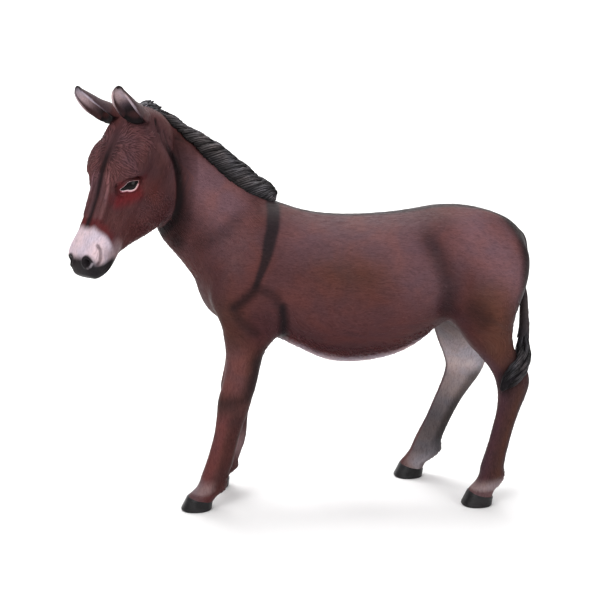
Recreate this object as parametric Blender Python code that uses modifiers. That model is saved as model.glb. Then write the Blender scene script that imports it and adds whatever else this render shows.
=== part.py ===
"""A life-size donkey statue, cast in resin, standing with its head turned to its left.

The donkey faces -X, its left side is -Y and +Z is up. The hooves stand on the floor at Z = 0.
The body is modelled whole, then parted with thin cuts into head, neck, trunk and legs.
"""

import math

import bmesh
import bpy
import numpy as np
from mathutils import Matrix, Vector

for old in list(bpy.data.objects):
    bpy.data.objects.remove(old, do_unlink=True)

# Where the midline of the body stands, so that the origin is under the middle of the whole.
MIDLINE = Vector((-0.021, 0.043, 0.0))
# The gap left between neighbouring pieces.
GAP = 0.0003
# Grid of the whole body before it is thinned out.
GRID = 0.006

# The head: where the poll is, how far it is turned to the left and how steeply it hangs.
POLL = Vector((-0.560, -0.145, 1.265))
HEAD_TURN = math.radians(45)
HEAD_PITCH = math.radians(66)
EAR_LENGTH = 0.166
EAR_SIDES = 9
EYE_RADIUS = 0.031
EYE_PLACE = (0.190, -0.040, 0.0615)

# Triangles that the flesh is thinned to before it is parted.
FLESH_TRIANGLES = 2850

# Where the limbs are parted.
ELBOW_CUT = 0.556
STIFLE_CUT = 0.569
KNEE_CUT = 0.329
HOCK_CUT = 0.359
CORONET = 0.050

# Trunk: distance back, bottom, top, half width, and how much wider it is above than below.
TRUNK = [
    (-0.342, 0.736, 0.834, 0.040, 0.0),
    (-0.319, 0.676, 0.904, 0.088, 0.0),
    (-0.279, 0.630, 0.959, 0.122, 0.0),
    (-0.210, 0.601, 0.996, 0.146, -0.05),
    (-0.140, 0.581, 1.014, 0.160, -0.08),
    (-0.070, 0.554, 1.008, 0.172, -0.10),
    (0.000, 0.519, 0.984, 0.190, -0.13),
    (0.080, 0.484, 0.970, 0.209, -0.15),
    (0.160, 0.475, 0.966, 0.219, -0.15),
    (0.240, 0.481, 0.968, 0.220, -0.12),
    (0.320, 0.500, 0.974, 0.212, -0.08),
    (0.390, 0.534, 0.984, 0.199, 0.00),
    (0.450, 0.584, 0.994, 0.190, 0.05),
    (0.520, 0.624, 0.995, 0.186, 0.05),
    (0.590, 0.654, 0.985, 0.176, 0.05),
    (0.650, 0.684, 0.967, 0.156, 0.0),
    (0.702, 0.724, 0.942, 0.122, 0.0),
    (0.748, 0.774, 0.897, 0.064, 0.0),
]

# Neck: crest (x, z), throat (x, z), sideways offset, turn in degrees, half width.
NECK = [
    (0.000, 0.969, -0.290, 0.666, 0.000, 0, 0.138),
    (-0.085, 1.014, -0.332, 0.736, 0.000, 0, 0.128),
    (-0.150, 1.059, -0.364, 0.782, 0.000, 0, 0.110),
    (-0.215, 1.112, -0.391, 0.818, 0.000, 0, 0.097),
    (-0.285, 1.167, -0.423, 0.856, 0.000, 3, 0.088),
    (-0.350, 1.214, -0.452, 0.892, -0.002, 10, 0.081),
    (-0.410, 1.248, -0.468, 0.939, -0.014, 20, 0.074),
    (-0.460, 1.268, -0.485, 1.004, -0.040, 32, 0.070),
    (-0.505, 1.267, -0.512, 1.084, -0.080, 42, 0.066),
    (-0.545, 1.246, -0.545, 1.149, -0.120, 45, 0.050),
]

# Legs on the left: height, front, back, sideways offset, half width.
FORELEG = [
    (0.924, -0.190, -0.080, 0.075, 0.040),
    (0.864, -0.240, -0.060, 0.090, 0.056),
    (0.784, -0.292, -0.045, 0.104, 0.064),
    (0.704, -0.300, -0.040, 0.112, 0.066),
    (0.644, -0.275, -0.050, 0.114, 0.064),
    (0.604, -0.262, -0.064, 0.112, 0.060),
    (0.574, -0.256, -0.088, 0.110, 0.056),
    (0.544, -0.248, -0.116, 0.108, 0.053),
    (0.504, -0.246, -0.131, 0.106, 0.049),
    (0.454, -0.254, -0.143, 0.104, 0.046),
    (0.409, -0.267, -0.155, 0.103, 0.045),
    (0.369, -0.278, -0.168, 0.103, 0.046),
    (0.329, -0.282, -0.179, 0.103, 0.041),
    (0.294, -0.286, -0.193, 0.103, 0.035),
    (0.251, -0.293, -0.208, 0.103, 0.031),
    (0.199, -0.307, -0.222, 0.103, 0.032),
    (0.155, -0.321, -0.232, 0.103, 0.035),
    (0.119, -0.334, -0.245, 0.103, 0.038),
    (0.092, -0.343, -0.252, 0.103, 0.039),
    (0.069, -0.356, -0.254, 0.103, 0.037),
    (0.046, -0.375, -0.278, 0.103, 0.038),
    (0.024, -0.386, -0.300, 0.103, 0.036),
]
# The right foreleg stands a little further back below the knee: height, distance.
FORELEG_SETBACK = [(0.0, 0.056), (0.046, 0.048), (0.094, 0.042), (0.144, 0.046), (0.204, 0.044),
                   (0.264, 0.032), (0.344, 0.014), (0.404, 0.010), (0.470, 0.006), (0.560, 0.0)]

HINDLEG_LEFT = [
    (0.914, 0.500, 0.700, 0.080, 0.060),
    (0.854, 0.462, 0.742, 0.092, 0.082),
    (0.774, 0.446, 0.745, 0.098, 0.092),
    (0.704, 0.452, 0.726, 0.102, 0.090),
    (0.634, 0.479, 0.699, 0.110, 0.080),
    (0.584, 0.512, 0.691, 0.117, 0.069),
    (0.544, 0.542, 0.693, 0.123, 0.060),
    (0.509, 0.577, 0.708, 0.128, 0.053),
    (0.479, 0.603, 0.722, 0.132, 0.048),
    (0.452, 0.622, 0.742, 0.135, 0.045),
    (0.429, 0.633, 0.747, 0.137, 0.044),
    (0.404, 0.640, 0.744, 0.139, 0.042),
    (0.374, 0.644, 0.735, 0.140, 0.038),
    (0.339, 0.643, 0.722, 0.141, 0.033),
    (0.299, 0.637, 0.708, 0.142, 0.030),
    (0.252, 0.626, 0.695, 0.142, 0.028),
    (0.205, 0.615, 0.684, 0.142, 0.029),
    (0.163, 0.603, 0.675, 0.142, 0.033),
    (0.128, 0.593, 0.671, 0.142, 0.037),
    (0.099, 0.589, 0.674, 0.142, 0.038),
    (0.074, 0.575, 0.662, 0.142, 0.036),
    (0.050, 0.557, 0.640, 0.142, 0.038),
    (0.026, 0.546, 0.632, 0.142, 0.036),
]
HINDLEG_RIGHT = [
    (0.914, 0.490, 0.700, 0.080, 0.060),
    (0.854, 0.448, 0.738, 0.092, 0.082),
    (0.774, 0.432, 0.742, 0.098, 0.092),
    (0.704, 0.432, 0.716, 0.103, 0.090),
    (0.634, 0.448, 0.690, 0.112, 0.080),
    (0.584, 0.464, 0.682, 0.120, 0.070),
    (0.541, 0.480, 0.683, 0.127, 0.061),
    (0.504, 0.494, 0.680, 0.133, 0.054),
    (0.474, 0.508, 0.682, 0.138, 0.049),
    (0.444, 0.521, 0.678, 0.142, 0.046),
    (0.417, 0.530, 0.671, 0.145, 0.044),
    (0.394, 0.530, 0.663, 0.147, 0.042),
    (0.364, 0.523, 0.647, 0.148, 0.038),
    (0.322, 0.508, 0.618, 0.149, 0.033),
    (0.278, 0.490, 0.589, 0.150, 0.030),
    (0.223, 0.468, 0.560, 0.150, 0.029),
    (0.168, 0.441, 0.535, 0.150, 0.032),
    (0.129, 0.423, 0.522, 0.150, 0.037),
    (0.099, 0.411, 0.524, 0.150, 0.038),
    (0.074, 0.394, 0.502, 0.150, 0.037),
    (0.050, 0.377, 0.469, 0.150, 0.038),
    (0.026, 0.364, 0.459, 0.150, 0.036),
]

# Hooves: middle of the sole (x, y).
HOOVES = {
    "fore_left": (-0.354, -0.103),
    "fore_right": (-0.294, 0.103),
    "hind_left": (0.5815, -0.142),
    "hind_right": (0.4030, 0.150),
}

# Hoof: height, then front, back and half width, from the middle of the sole.
HOOF = [
    (0.0, -0.0500, 0.0500, 0.0455),
    (0.006, -0.0505, 0.0515, 0.0465),
    (0.028, -0.0405, 0.0530, 0.0440),
    (CORONET - GAP, -0.0310, 0.0550, 0.0400),
]

# Folds and hollows. On the face: down, forward, left. On the body: x, half distance apart, z.
FACE_FOLDS = [
    ([(0.170, -0.058, 0.098), (0.195, -0.038, 0.094), (0.216, -0.016, 0.084)], 0.030, -0.006),
    ([(0.440, -0.012, 0.050), (0.456, -0.026, 0.052)], 0.018, -0.012),
    ([(0.405, -0.040, 0.066), (0.430, -0.052, 0.066), (0.452, -0.056, 0.052)], 0.012, -0.004),
    ([(0.200, -0.075, 0.092), (0.260, -0.075, 0.080), (0.320, -0.060, 0.070)], 0.022, 0.004),
    ([(0.235, 0.002, 0.040), (0.330, 0.002, 0.034)], 0.018, 0.003),
]
BODY_FOLDS = [
    ([(-0.230, 0.150, 0.649), (-0.188, 0.160, 0.697), (-0.134, 0.165, 0.744)], 0.035, -0.008),
    ([(-0.066, 0.160, 0.674), (-0.066, 0.150, 0.594)], 0.025, -0.008),
    ([(0.440, 0.185, 0.854), (0.458, 0.175, 0.764), (0.462, 0.160, 0.674)], 0.050, -0.010),
]

# Skull and nose: distance down the face, front, back, half width.
SKULL = [
    (-0.078, -0.046, -0.120, 0.046),
    (-0.054, -0.018, -0.155, 0.074),
    (-0.016, -0.003, -0.176, 0.090),
    (0.030, 0.006, -0.184, 0.101),
    (0.066, 0.012, -0.185, 0.107),
    (0.105, 0.016, -0.180, 0.107),
    (0.150, 0.015, -0.170, 0.104),
    (0.200, 0.009, -0.155, 0.091),
    (0.245, 0.004, -0.140, 0.076),
    (0.295, 0.005, -0.126, 0.067),
    (0.340, 0.008, -0.112, 0.066),
    (0.385, 0.013, -0.100, 0.074),
    (0.425, 0.010, -0.088, 0.075),
    (0.455, -0.002, -0.078, 0.064),
    (0.479, -0.022, -0.062, 0.042),
]
# Lower jaw: distance down the face, front, back, half width.
JAW = [
    (0.050, -0.120, -0.210, 0.046),
    (0.110, -0.120, -0.242, 0.058),
    (0.180, -0.110, -0.256, 0.062),
    (0.240, -0.090, -0.250, 0.058),
    (0.285, -0.070, -0.215, 0.052),
    (0.335, -0.050, -0.158, 0.049),
    (0.385, -0.040, -0.114, 0.046),
    (0.425, -0.036, -0.092, 0.043),
    (0.455, -0.044, -0.078, 0.032),
]
# Cheek, brow and chin swellings: middle, and half sizes down the face, forward and sideways.
CHEEK = ((0.150, -0.135, 0.050), (0.125, 0.120, 0.044))
BROW = ((0.115, -0.036, 0.068), (0.080, 0.046, 0.054))
TEMPLE = ((0.095, -0.098, 0.055), (0.105, 0.086, 0.050))

# Ear: distance out along it (0 to 1), half width, depth from back to rim, hollow, rim's lead.
EAR = [
    (0.00, 0.034, 0.040, 0.0, 0.010),
    (0.14, 0.038, 0.050, 0.0, 0.024),
    (0.22, 0.040, 0.054, 0.30, 0.028),
    (0.32, 0.042, 0.052, 0.85, 0.029),
    (0.50, 0.042, 0.041, 1.0, 0.028),
    (0.66, 0.039, 0.034, 1.0, 0.025),
    (0.80, 0.033, 0.026, 1.0, 0.020),
    (0.91, 0.024, 0.017, 1.0, 0.013),
    (0.975, 0.014, 0.010, 0.6, 0.004),
    (1.00, 0.006, 0.006, 0.0, 0.001),
]

# Tail: middle line (x, y, z), half width, half depth.
TAIL = [
    (0.690, 0.000, 0.911, 0.018, 0.022),
    (0.734, 0.000, 0.883, 0.021, 0.020),
    (0.749, -0.002, 0.834, 0.021, 0.017),
    (0.749, -0.004, 0.784, 0.020, 0.015),
    (0.746, -0.008, 0.734, 0.018, 0.013),
    (0.754, -0.018, 0.684, 0.017, 0.013),
    (0.752, -0.034, 0.634, 0.017, 0.015),
    (0.750, -0.050, 0.584, 0.019, 0.018),
    (0.744, -0.062, 0.549, 0.021, 0.021),
]
SWITCH = [
    (0.745, -0.060, 0.556, 0.021, 0.021),
    (0.740, -0.080, 0.521, 0.026, 0.025),
    (0.733, -0.110, 0.500, 0.028, 0.028),
    (0.722, -0.145, 0.480, 0.025, 0.028),
    (0.705, -0.172, 0.461, 0.019, 0.026),
    (0.685, -0.188, 0.441, 0.013, 0.022),
    (0.662, -0.192, 0.420, 0.010, 0.016),
    (0.643, -0.190, 0.404, 0.006, 0.007),
]

# Mane: crest line (x, y, z), half width, half height, lean.
MANE = [
    (-0.535, -0.125, 1.276, 0.014, 0.020),
    (-0.503, -0.096, 1.295, 0.022, 0.034),
    (-0.452, -0.060, 1.272, 0.026, 0.042),
    (-0.395, -0.030, 1.230, 0.028, 0.045),
    (-0.335, -0.010, 1.187, 0.028, 0.046),
    (-0.270, -0.003, 1.140, 0.028, 0.047),
    (-0.215, 0.000, 1.094, 0.028, 0.047),
    (-0.160, 0.000, 1.052, 0.027, 0.045),
    (-0.116, 0.000, 1.023, 0.024, 0.038),
    (-0.088, 0.000, 1.000, 0.016, 0.025),
]


def between(rows, steps):
    """Rows of a smooth curve through the given rows, with steps spans between each two."""
    rows = np.array(rows, float)
    last = len(rows) - 1
    out = []
    for i in range(last):
        a, b, c, d = rows[max(i - 1, 0)], rows[i], rows[i + 1], rows[min(i + 2, last)]
        for k in range(steps):
            t = k / steps
            curve = 2 * b + (c - a) * t + (2 * a - 5 * b + 4 * c - d) * t * t
            out.append(0.5 * (curve + (3 * b - a - 3 * c + d) * t**3))
    out.append(rows[last])
    return out


def oval(count, wide, high, power=2.0, egg=0.0):
    """Sideways and upward offsets of a rounded section, wider above where egg is positive."""
    out = []
    for k in range(count):
        c = math.cos(2 * math.pi * k / count)
        s = math.sin(2 * math.pi * k / count)
        v = math.copysign(abs(s) ** (2 / power), s)
        out.append((wide * math.copysign(abs(c) ** (2 / power), c) * (1 + egg * v), high * v))
    return out


def loft(name, rings):
    """A closed solid through rings of points."""
    mesh = bpy.data.meshes.new(name)
    build = bmesh.new()
    rows = [[build.verts.new(p) for p in ring] for ring in rings]
    count = len(rows[0])
    for low, high in zip(rows, rows[1:]):
        for k in range(count):
            n = (k + 1) % count
            build.faces.new((low[k], low[n], high[n], high[k]))
    build.faces.new(rows[0][::-1])
    build.faces.new(rows[-1])
    bmesh.ops.triangulate(build, faces=build.faces)
    bmesh.ops.recalc_face_normals(build, faces=build.faces)
    build.to_mesh(mesh)
    build.free()
    obj = bpy.data.objects.new(name, mesh)
    bpy.context.scene.collection.objects.link(obj)
    return obj


def tube(name, path, count, steps, power=2.0):
    """A rounded solid along a path of (x, y, z, half width, half depth)."""
    rows = between(path, steps)
    rings = []
    for i, row in enumerate(rows):
        ahead = Vector(rows[min(i + 1, len(rows) - 1)][:3]) - Vector(rows[max(i - 1, 0)][:3])
        ahead.normalize()
        side = Vector((0, 1, 0)) - ahead * ahead.y
        side.normalize()
        up = ahead.cross(side)
        middle = Vector(row[:3])
        rings.append([middle + side * y + up * z for y, z in oval(count, row[3], row[4], power)])
    return loft(name, rings)


FACE_DOWN = Vector((-math.cos(HEAD_TURN) * math.cos(HEAD_PITCH),
                    -math.sin(HEAD_TURN) * math.cos(HEAD_PITCH), -math.sin(HEAD_PITCH)))
FACE_LEFT = Vector((math.sin(HEAD_TURN), -math.cos(HEAD_TURN), 0))
FACE_FRONT = FACE_DOWN.cross(FACE_LEFT)


def face(down, front, left):
    """A point on the head, from the poll: down the face, forward of it, and to its left."""
    return POLL + FACE_DOWN * down + FACE_FRONT * front + FACE_LEFT * left


def head_loft(name, rows, power):
    rings = []
    for down, front, back, half in between(rows, 4):
        middle, high = (front + back) / 2, (front - back) / 2
        rings.append([face(down, middle + v, w) for w, v in oval(40, half, high, power)])
    return loft(name, rings)


def swelling(name, middle, half, mirrored=True):
    """Rounded masses on both sides of the head."""
    out = []
    for side in ((1, -1) if mirrored else (1,)):
        rings = []
        for k in range(1, 16):
            down = -math.cos(math.pi * k / 16)
            r = math.sin(math.pi * k / 16)
            ring = oval(24, half[2] * r, half[1] * r)
            d = middle[0] + down * half[0]
            rings.append([face(d, middle[1] + v, (middle[2] + w) * side) for w, v in ring])
        out.append(loft(name, rings))
    return out


def leg(name, rows, side):
    rings = []
    for height, front, back, offset, half in between(rows, 4):
        x, y, deep = (front + back) / 2, offset * side, (back - front) / 2
        rings.append([(x + u, y + w, height) for w, u in oval(32, half, deep, 2.2)])
    return loft(name, rings)


def ear(name, side):
    """A deep cupped leaf, open to the front."""
    ahead = Vector((-math.cos(HEAD_TURN), -math.sin(HEAD_TURN), 0))
    root = face(-0.028, -0.030, 0.052 * side)
    tip_way = (ahead * 0.77 + FACE_LEFT * (0.27 * side) + Vector((0, 0, 0.575))).normalized()
    open_way = ahead * 0.60 + FACE_LEFT * 0.06 - Vector((0, 0, 0.80))
    open_way = (open_way - tip_way * open_way.dot(tip_way)).normalized()
    across = tip_way.cross(open_way).normalized()
    rings = []
    for along, half, deep, scoop, fore in between(EAR, 2):
        middle = root + tip_way * EAR_LENGTH * along + open_way * fore
        ring = []
        for k in range(EAR_SIDES):
            a = math.pi * k / (EAR_SIDES - 1)
            ring.append(middle + across * half * math.cos(a) - open_way * deep * math.sin(a))
        wall = min(0.006, half * 0.3)
        for k in range(EAR_SIDES):
            a = math.pi * (1 - k / (EAR_SIDES - 1))
            back = (deep - 1.2 * wall) * scoop - 0.010 * (1 - scoop)
            ring.append(middle + across * (half - wall) * math.cos(a) - open_way * back * math.sin(a))
        rings.append(ring)
    return loft(name, rings)


def whole_body():
    parts = []
    rings = []
    for x, low, high, half, egg in between(TRUNK, 4):
        middle, tall = (low + high) / 2, (high - low) / 2
        rings.append([(x, w, middle + v) for w, v in oval(64, half, tall, 2.15, egg)])
    parts.append(loft("body", rings))
    rings = []
    for cx, cz, tx, tz, y, turn, half in between(NECK, 4):
        crest, throat = Vector((cx, y, cz)), Vector((tx, y, tz))
        middle, up = (crest + throat) / 2, (crest - throat) / 2
        turned = math.radians(turn)
        side = Vector((math.sin(turned), -math.cos(turned), 0))
        rings.append([middle + side * w + up * v for w, v in oval(48, half, 1.0, 2.0, -0.12)])
    parts.append(loft("body", rings))
    parts.append(leg("body", FORELEG, -1))
    setback = np.array(FORELEG_SETBACK)
    moved = []
    for height, front, back, offset, half in FORELEG:
        d = float(np.interp(height, setback[:, 0], setback[:, 1]))
        moved.append((height, front + d, back + d, offset, half))
    parts.append(leg("body", moved, 1))
    parts.append(leg("body", HINDLEG_LEFT, -1))
    parts.append(leg("body", HINDLEG_RIGHT, 1))
    parts.append(head_loft("body", SKULL, 2.9))
    parts.append(head_loft("body", JAW, 2.4))
    parts += swelling("body", *CHEEK)
    parts += swelling("body", *BROW)
    parts += swelling("body", *TEMPLE)
    return parts


def joined(name, parts):
    """One object made of all the parts."""
    bpy.ops.object.select_all(action="DESELECT")
    for part in parts:
        part.select_set(True)
    bpy.context.view_layer.objects.active = parts[0]
    bpy.ops.object.join()
    parts[0].name = name
    return parts[0]


def settled(obj):
    """The object with its modifiers made final."""
    graph = bpy.context.evaluated_depsgraph_get()
    mesh = bpy.data.meshes.new_from_object(obj.evaluated_get(graph))
    obj.modifiers.clear()
    obj.data = mesh
    return obj


def ramp(value, low, high):
    """0 below low, 1 above high, smooth between."""
    t = np.clip((value - low) / (high - low), 0, 1)
    return t * t * (3 - 2 * t)


def points_of(obj, what="co"):
    out = np.empty(len(obj.data.vertices) * 3, np.float32)
    obj.data.vertices.foreach_get(what, out)
    return out.reshape(-1, 3).astype(float)


def in_face(points):
    """Down, front and left of every point in the head's own directions."""
    away = points - np.array(POLL)
    return away @ np.array(FACE_DOWN), away @ np.array(FACE_FRONT), away @ np.array(FACE_LEFT)


def softness(points):
    """How strongly each point is blended: the body much, the head and the lower legs little."""
    x, z = points[:, 0], points[:, 2]
    down, front, left = in_face(points)
    body = ramp(z, 0.40, 0.58)
    neck = 1 - 0.55 * ramp(-x, 0.22, 0.36)
    head = 1 - 0.93 * ramp(front, -0.235, -0.15) * (x < -0.3)
    return np.clip(0.035 + body * neck * head, 0.035, 1)


def blend(obj, rounds):
    """Smooths the object by its softness."""
    weights = softness(points_of(obj))
    group = obj.vertex_groups.new(name="soft")
    steps = np.round(weights * 40).astype(int)
    for step in np.unique(steps):
        group.add(np.nonzero(steps == step)[0].tolist(), step / 40, "REPLACE")
    smooth = obj.modifiers.new("smooth", "SMOOTH")
    smooth.factor = 0.5
    smooth.iterations = rounds
    smooth.vertex_group = group.name
    return settled(obj)


def nearness(points, path, radius):
    """1 on the path, falling to 0 at the radius from it."""
    path = np.array(path, float)
    best = np.full(len(points), np.inf)
    for a, b in zip(path, path[1:]):
        along = b - a
        t = np.clip(((points - a) @ along) / (along @ along), 0, 1)
        best = np.minimum(best, ((points - a - t[:, None] * along) ** 2).sum(1))
    return np.clip(1 - best / radius**2, 0, 1) ** 2


def press(points, normals, path, radius, depth):
    """Moves the points near a path along their normals, inward where depth is negative."""
    points += normals * (nearness(points, path, radius) * depth)[:, None]


def on_both_sides(path):
    return [[face(d, f, w * side) for d, f, w in path] for side in (1, -1)]


def shape_details(obj):
    """Hollows and folds that the blended form doesn't have."""
    points, normals = points_of(obj), points_of(obj, "normal")
    for path, radius, depth in FACE_FOLDS:
        for sided in on_both_sides(path):
            press(points, normals, sided, radius, depth)
    for path, radius, depth in BODY_FOLDS:
        for side in (1, -1):
            press(points, normals, [(x, y * side, z) for x, y, z in path], radius, depth)
    obj.data.vertices.foreach_set("co", points.astype(np.float32).ravel())
    obj.data.update()


def swollen(obj, by):
    """A copy of the object, larger by the same amount on every side."""
    copy = obj.copy()
    copy.data = obj.data.copy()
    bpy.context.scene.collection.objects.link(copy)
    points = points_of(copy) + points_of(copy, "normal") * by
    copy.data.vertices.foreach_set("co", points.astype(np.float32).ravel())
    copy.data.update()
    return copy


def boolean(obj, other, operation):
    cut = obj.modifiers.new("cut", "BOOLEAN")
    cut.solver = "EXACT"
    cut.operation = operation
    cut.object = other
    return settled(obj)


def fitted_round(obj, inner):
    """The object with room cut in it for another piece, a thin gap clear all round."""
    larger = swollen(inner, GAP)
    boolean(obj, larger, "DIFFERENCE")
    bpy.data.objects.remove(larger, do_unlink=True)
    return obj


def prism(outline, swing, across):
    """A straight-sided block over an outline in (along, height), swung about Z."""
    turned = math.radians(swing)
    along = Vector((math.cos(turned), math.sin(turned), 0))
    side = Vector((-math.sin(turned), math.cos(turned), 0))
    return loft("block", [[along * u + side * v + Vector((0, 0, z)) for u, z in outline] for v in across])


def parted(obj, name, outline, swing=0, across=(-0.6, 0.6)):
    """Takes the piece inside the outline off the object, leaving a thin gap."""
    inside = prism(outline, swing, across)
    wide = swollen(inside, 2 * GAP)
    piece = obj.copy()
    piece.data = obj.data.copy()
    piece.name = name
    bpy.context.scene.collection.objects.link(piece)
    boolean(piece, inside, "INTERSECT")
    boolean(obj, wide, "DIFFERENCE")
    for box in (inside, wide):
        bpy.data.objects.remove(box, do_unlink=True)
    return piece


def without_scraps(obj):
    """Only the largest closed piece of the object."""
    build = bmesh.new()
    build.from_mesh(obj.data)
    seen, shells = set(), []
    for start in build.verts:
        if start in seen:
            continue
        shell, edge = {start}, [start]
        while edge:
            for link in edge.pop().link_edges:
                for end in link.verts:
                    if end not in shell:
                        shell.add(end)
                        edge.append(end)
        seen |= shell
        shells.append(shell)
    shells.sort(key=len)
    scraps = [v for shell in shells[:-1] for v in shell]
    bmesh.ops.delete(build, geom=scraps, context="VERTS")
    build.to_mesh(obj.data)
    build.free()


def hoof(name, place):
    rings = []
    for height, front, back, half in HOOF:
        x, deep = place[0] + (front + back) / 2, (back - front) / 2
        rings.append([(x + u, place[1] + w, height) for w, u in oval(20, half, deep, 2.25)])
    return loft(name, rings)


def ball(name, middle, radius):
    rings = []
    for k in range(1, 9):
        a = math.pi * k / 9
        ring = oval(14, radius * math.sin(a), radius * math.sin(a))
        rings.append([middle + Vector((w, v, -radius * math.cos(a))) for w, v in ring])
    return loft(name, rings)


trunk = joined("trunk", whole_body())
remesh = trunk.modifiers.new("grid", "REMESH")
remesh.mode = "VOXEL"
remesh.voxel_size = GRID
settled(trunk)
blend(trunk, 120)
shape_details(trunk)
trunk.vertex_groups.clear()
thin = trunk.modifiers.new("thin", "DECIMATE")
thin.ratio = FLESH_TRIANGLES / (2 * len(trunk.data.polygons))
settled(trunk)

# Pieces that the flesh is fitted round.
eyes = [ball("eye_left", face(*EYE_PLACE), EYE_RADIUS),
        ball("eye_right", face(EYE_PLACE[0], EYE_PLACE[1], -EYE_PLACE[2]), EYE_RADIUS)]
mane = tube("mane", MANE, 12, 3)
tail = tube("tail", TAIL, 10, 2)
switch = tube("tail_switch", SWITCH, 10, 2)

fitted_round(switch, tail)
without_scraps(switch)
for inner in (*eyes, mane, tail, switch):
    fitted_round(trunk, inner)

# Head and neck.
head = parted(trunk, "head", [(-1.2, 0.684), (-0.48, 0.684), (-0.40, 0.834), (-0.322, 0.944), (-0.310, 1.60),
                              (-1.2, 1.60)], 45)
neck = parted(trunk, "neck", [(-0.9, 0.729), (-0.372, 0.729), (-0.060, 1.046), (-0.060, 1.60), (-0.9, 1.60)])
ears = []
for side, name in ((1, "ear_left"), (-1, "ear_right")):
    ears.append(fitted_round(ear(name, side), head))

# Limbs, each parted from the piece above it.
pieces = [trunk, head, neck, mane, tail, switch, *eyes, *ears]
for leg_name, place in HOOVES.items():
    fore = leg_name.startswith("fore")
    across = (-0.40, -0.001) if leg_name.endswith("left") else (0.001, 0.40)
    if fore:
        cuts = (("forearm", [(-0.070, ELBOW_CUT), (-0.45, ELBOW_CUT), (-0.45, -0.1), (-0.070, -0.1)]),
                ("cannon", [(-0.07, KNEE_CUT), (-0.45, KNEE_CUT), (-0.45, -0.1), (-0.07, -0.1)]))
    else:
        cuts = (("gaskin", [(0.85, STIFLE_CUT), (0.458, STIFLE_CUT), (0.458, 0.444), (0.2, 0.444), (0.2, -0.1),
                            (0.85, -0.1)]),
                ("cannon", [(0.85, HOCK_CUT), (0.2, HOCK_CUT), (0.2, -0.1), (0.85, -0.1)]))
    back, front = (-0.07, -0.45) if fore else (0.85, 0.2)
    cuts += (("foot", [(back, CORONET), (front, CORONET), (front, -0.1), (back, -0.1)]),)
    source = trunk
    for name, outline in cuts:
        source = parted(source, f"{name}_{leg_name}", outline, 0, across)
        pieces.append(source)
    bpy.data.objects.remove(pieces.pop(), do_unlink=True)
    pieces.append(hoof(f"hoof_{leg_name}", place))

statue = bpy.data.collections.new("donkey")
bpy.context.scene.collection.children.link(statue)
COLOURS = {"mane": (0.03, 0.03, 0.03), "tail_switch": (0.03, 0.03, 0.03), "eye": (0.01, 0.01, 0.01),
           "hoof": (0.03, 0.03, 0.03), "": (0.16, 0.08, 0.07)}
for piece in pieces:
    without_scraps(piece)
    for user in list(piece.users_collection):
        user.objects.unlink(piece)
    statue.objects.link(piece)
    material = bpy.data.materials.new(f"{piece.name}_paint")
    material.use_nodes = True
    shader = material.node_tree.nodes["Principled BSDF"]
    colour = next(c for start, c in COLOURS.items() if piece.name.startswith(start))
    shader.inputs["Base Color"].default_value = (*colour, 1)
    shader.inputs["Roughness"].default_value = 0.15 if piece.name.startswith("eye") else 0.5
    piece.data.materials.clear()
    piece.data.materials.append(material)
    for polygon in piece.data.polygons:
        polygon.use_smooth = not piece.name.startswith("hoof")
    if piece.name.startswith("hoof"):
        corner = piece.name[5:]
        origin = Vector((*HOOVES[corner], 0))
    else:
        origin = sum((Vector(c) for c in piece.bound_box), Vector()) / 8
    piece.data.transform(Matrix.Translation(-origin))
    piece.location = origin + MIDLINE
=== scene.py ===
"""A life-size donkey statue in painted resin: its finish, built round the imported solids.

Metres, +Z up. The donkey faces -X and its left side is -Y; the head is turned to its left.
"""

import math

import bmesh
import bpy
import numpy as np
from mathutils import Matrix, Vector
from mathutils.bvhtree import BVHTree


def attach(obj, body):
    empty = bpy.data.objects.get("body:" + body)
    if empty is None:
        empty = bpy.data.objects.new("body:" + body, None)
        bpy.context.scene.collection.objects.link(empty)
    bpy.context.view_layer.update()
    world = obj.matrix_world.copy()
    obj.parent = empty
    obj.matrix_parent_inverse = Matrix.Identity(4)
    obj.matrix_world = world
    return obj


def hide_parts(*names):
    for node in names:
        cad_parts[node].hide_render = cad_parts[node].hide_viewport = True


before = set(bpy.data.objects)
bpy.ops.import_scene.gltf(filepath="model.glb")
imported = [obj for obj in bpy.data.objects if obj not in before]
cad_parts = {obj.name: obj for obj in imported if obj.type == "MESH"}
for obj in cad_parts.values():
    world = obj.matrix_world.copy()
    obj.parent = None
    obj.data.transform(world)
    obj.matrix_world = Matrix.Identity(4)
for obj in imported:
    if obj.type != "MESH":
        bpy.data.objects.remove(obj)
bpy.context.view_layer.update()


# ---------------------------------------------------------------------------------------------
# The studio: a pale floor that sweeps up into a backdrop, two large soft lights in front, one
# overhead and one on the backdrop, and the camera a little to the left of square-on, looking
# slightly down.

# Where the midline of the statue's body stands.
MIDLINE = Vector((-0.021, 0.043, 0.0))
CAMERA_AIM = MIDLINE + Vector((0, 0, 0.679))
CAMERA_DISTANCE = 3.6
CAMERA_AZIMUTH = math.radians(-5)
CAMERA_ELEVATION = math.radians(11)
# The floor: half its width, where it begins to rise behind, the radius of the rise and its top.
FLOOR_HALF = 9.0
FLOOR_BACK = 4.5
FLOOR_BEND = 1.5
BACKDROP_TOP = 7.0


def put(name, data):
    """The data as an object in the scene."""
    thing = bpy.data.objects.new(name, data)
    bpy.context.scene.collection.objects.link(thing)
    return thing


def new_piece(name, build):
    """An object made of a finished bmesh."""
    mesh = bpy.data.meshes.new(name)
    build.to_mesh(mesh)
    build.free()
    return put(name, mesh)


def new_finish(name):
    """A material, its node tree and its shader."""
    finish = bpy.data.materials.new(name)
    finish.use_nodes = True
    return finish, finish.node_tree, finish.node_tree.nodes["Principled BSDF"]


def dress(obj, finish):
    """Gives the object this finish alone, smoothly shaded."""
    obj.data.materials.clear()
    obj.data.materials.append(finish)
    obj.data.shade_smooth()
    return obj


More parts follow.
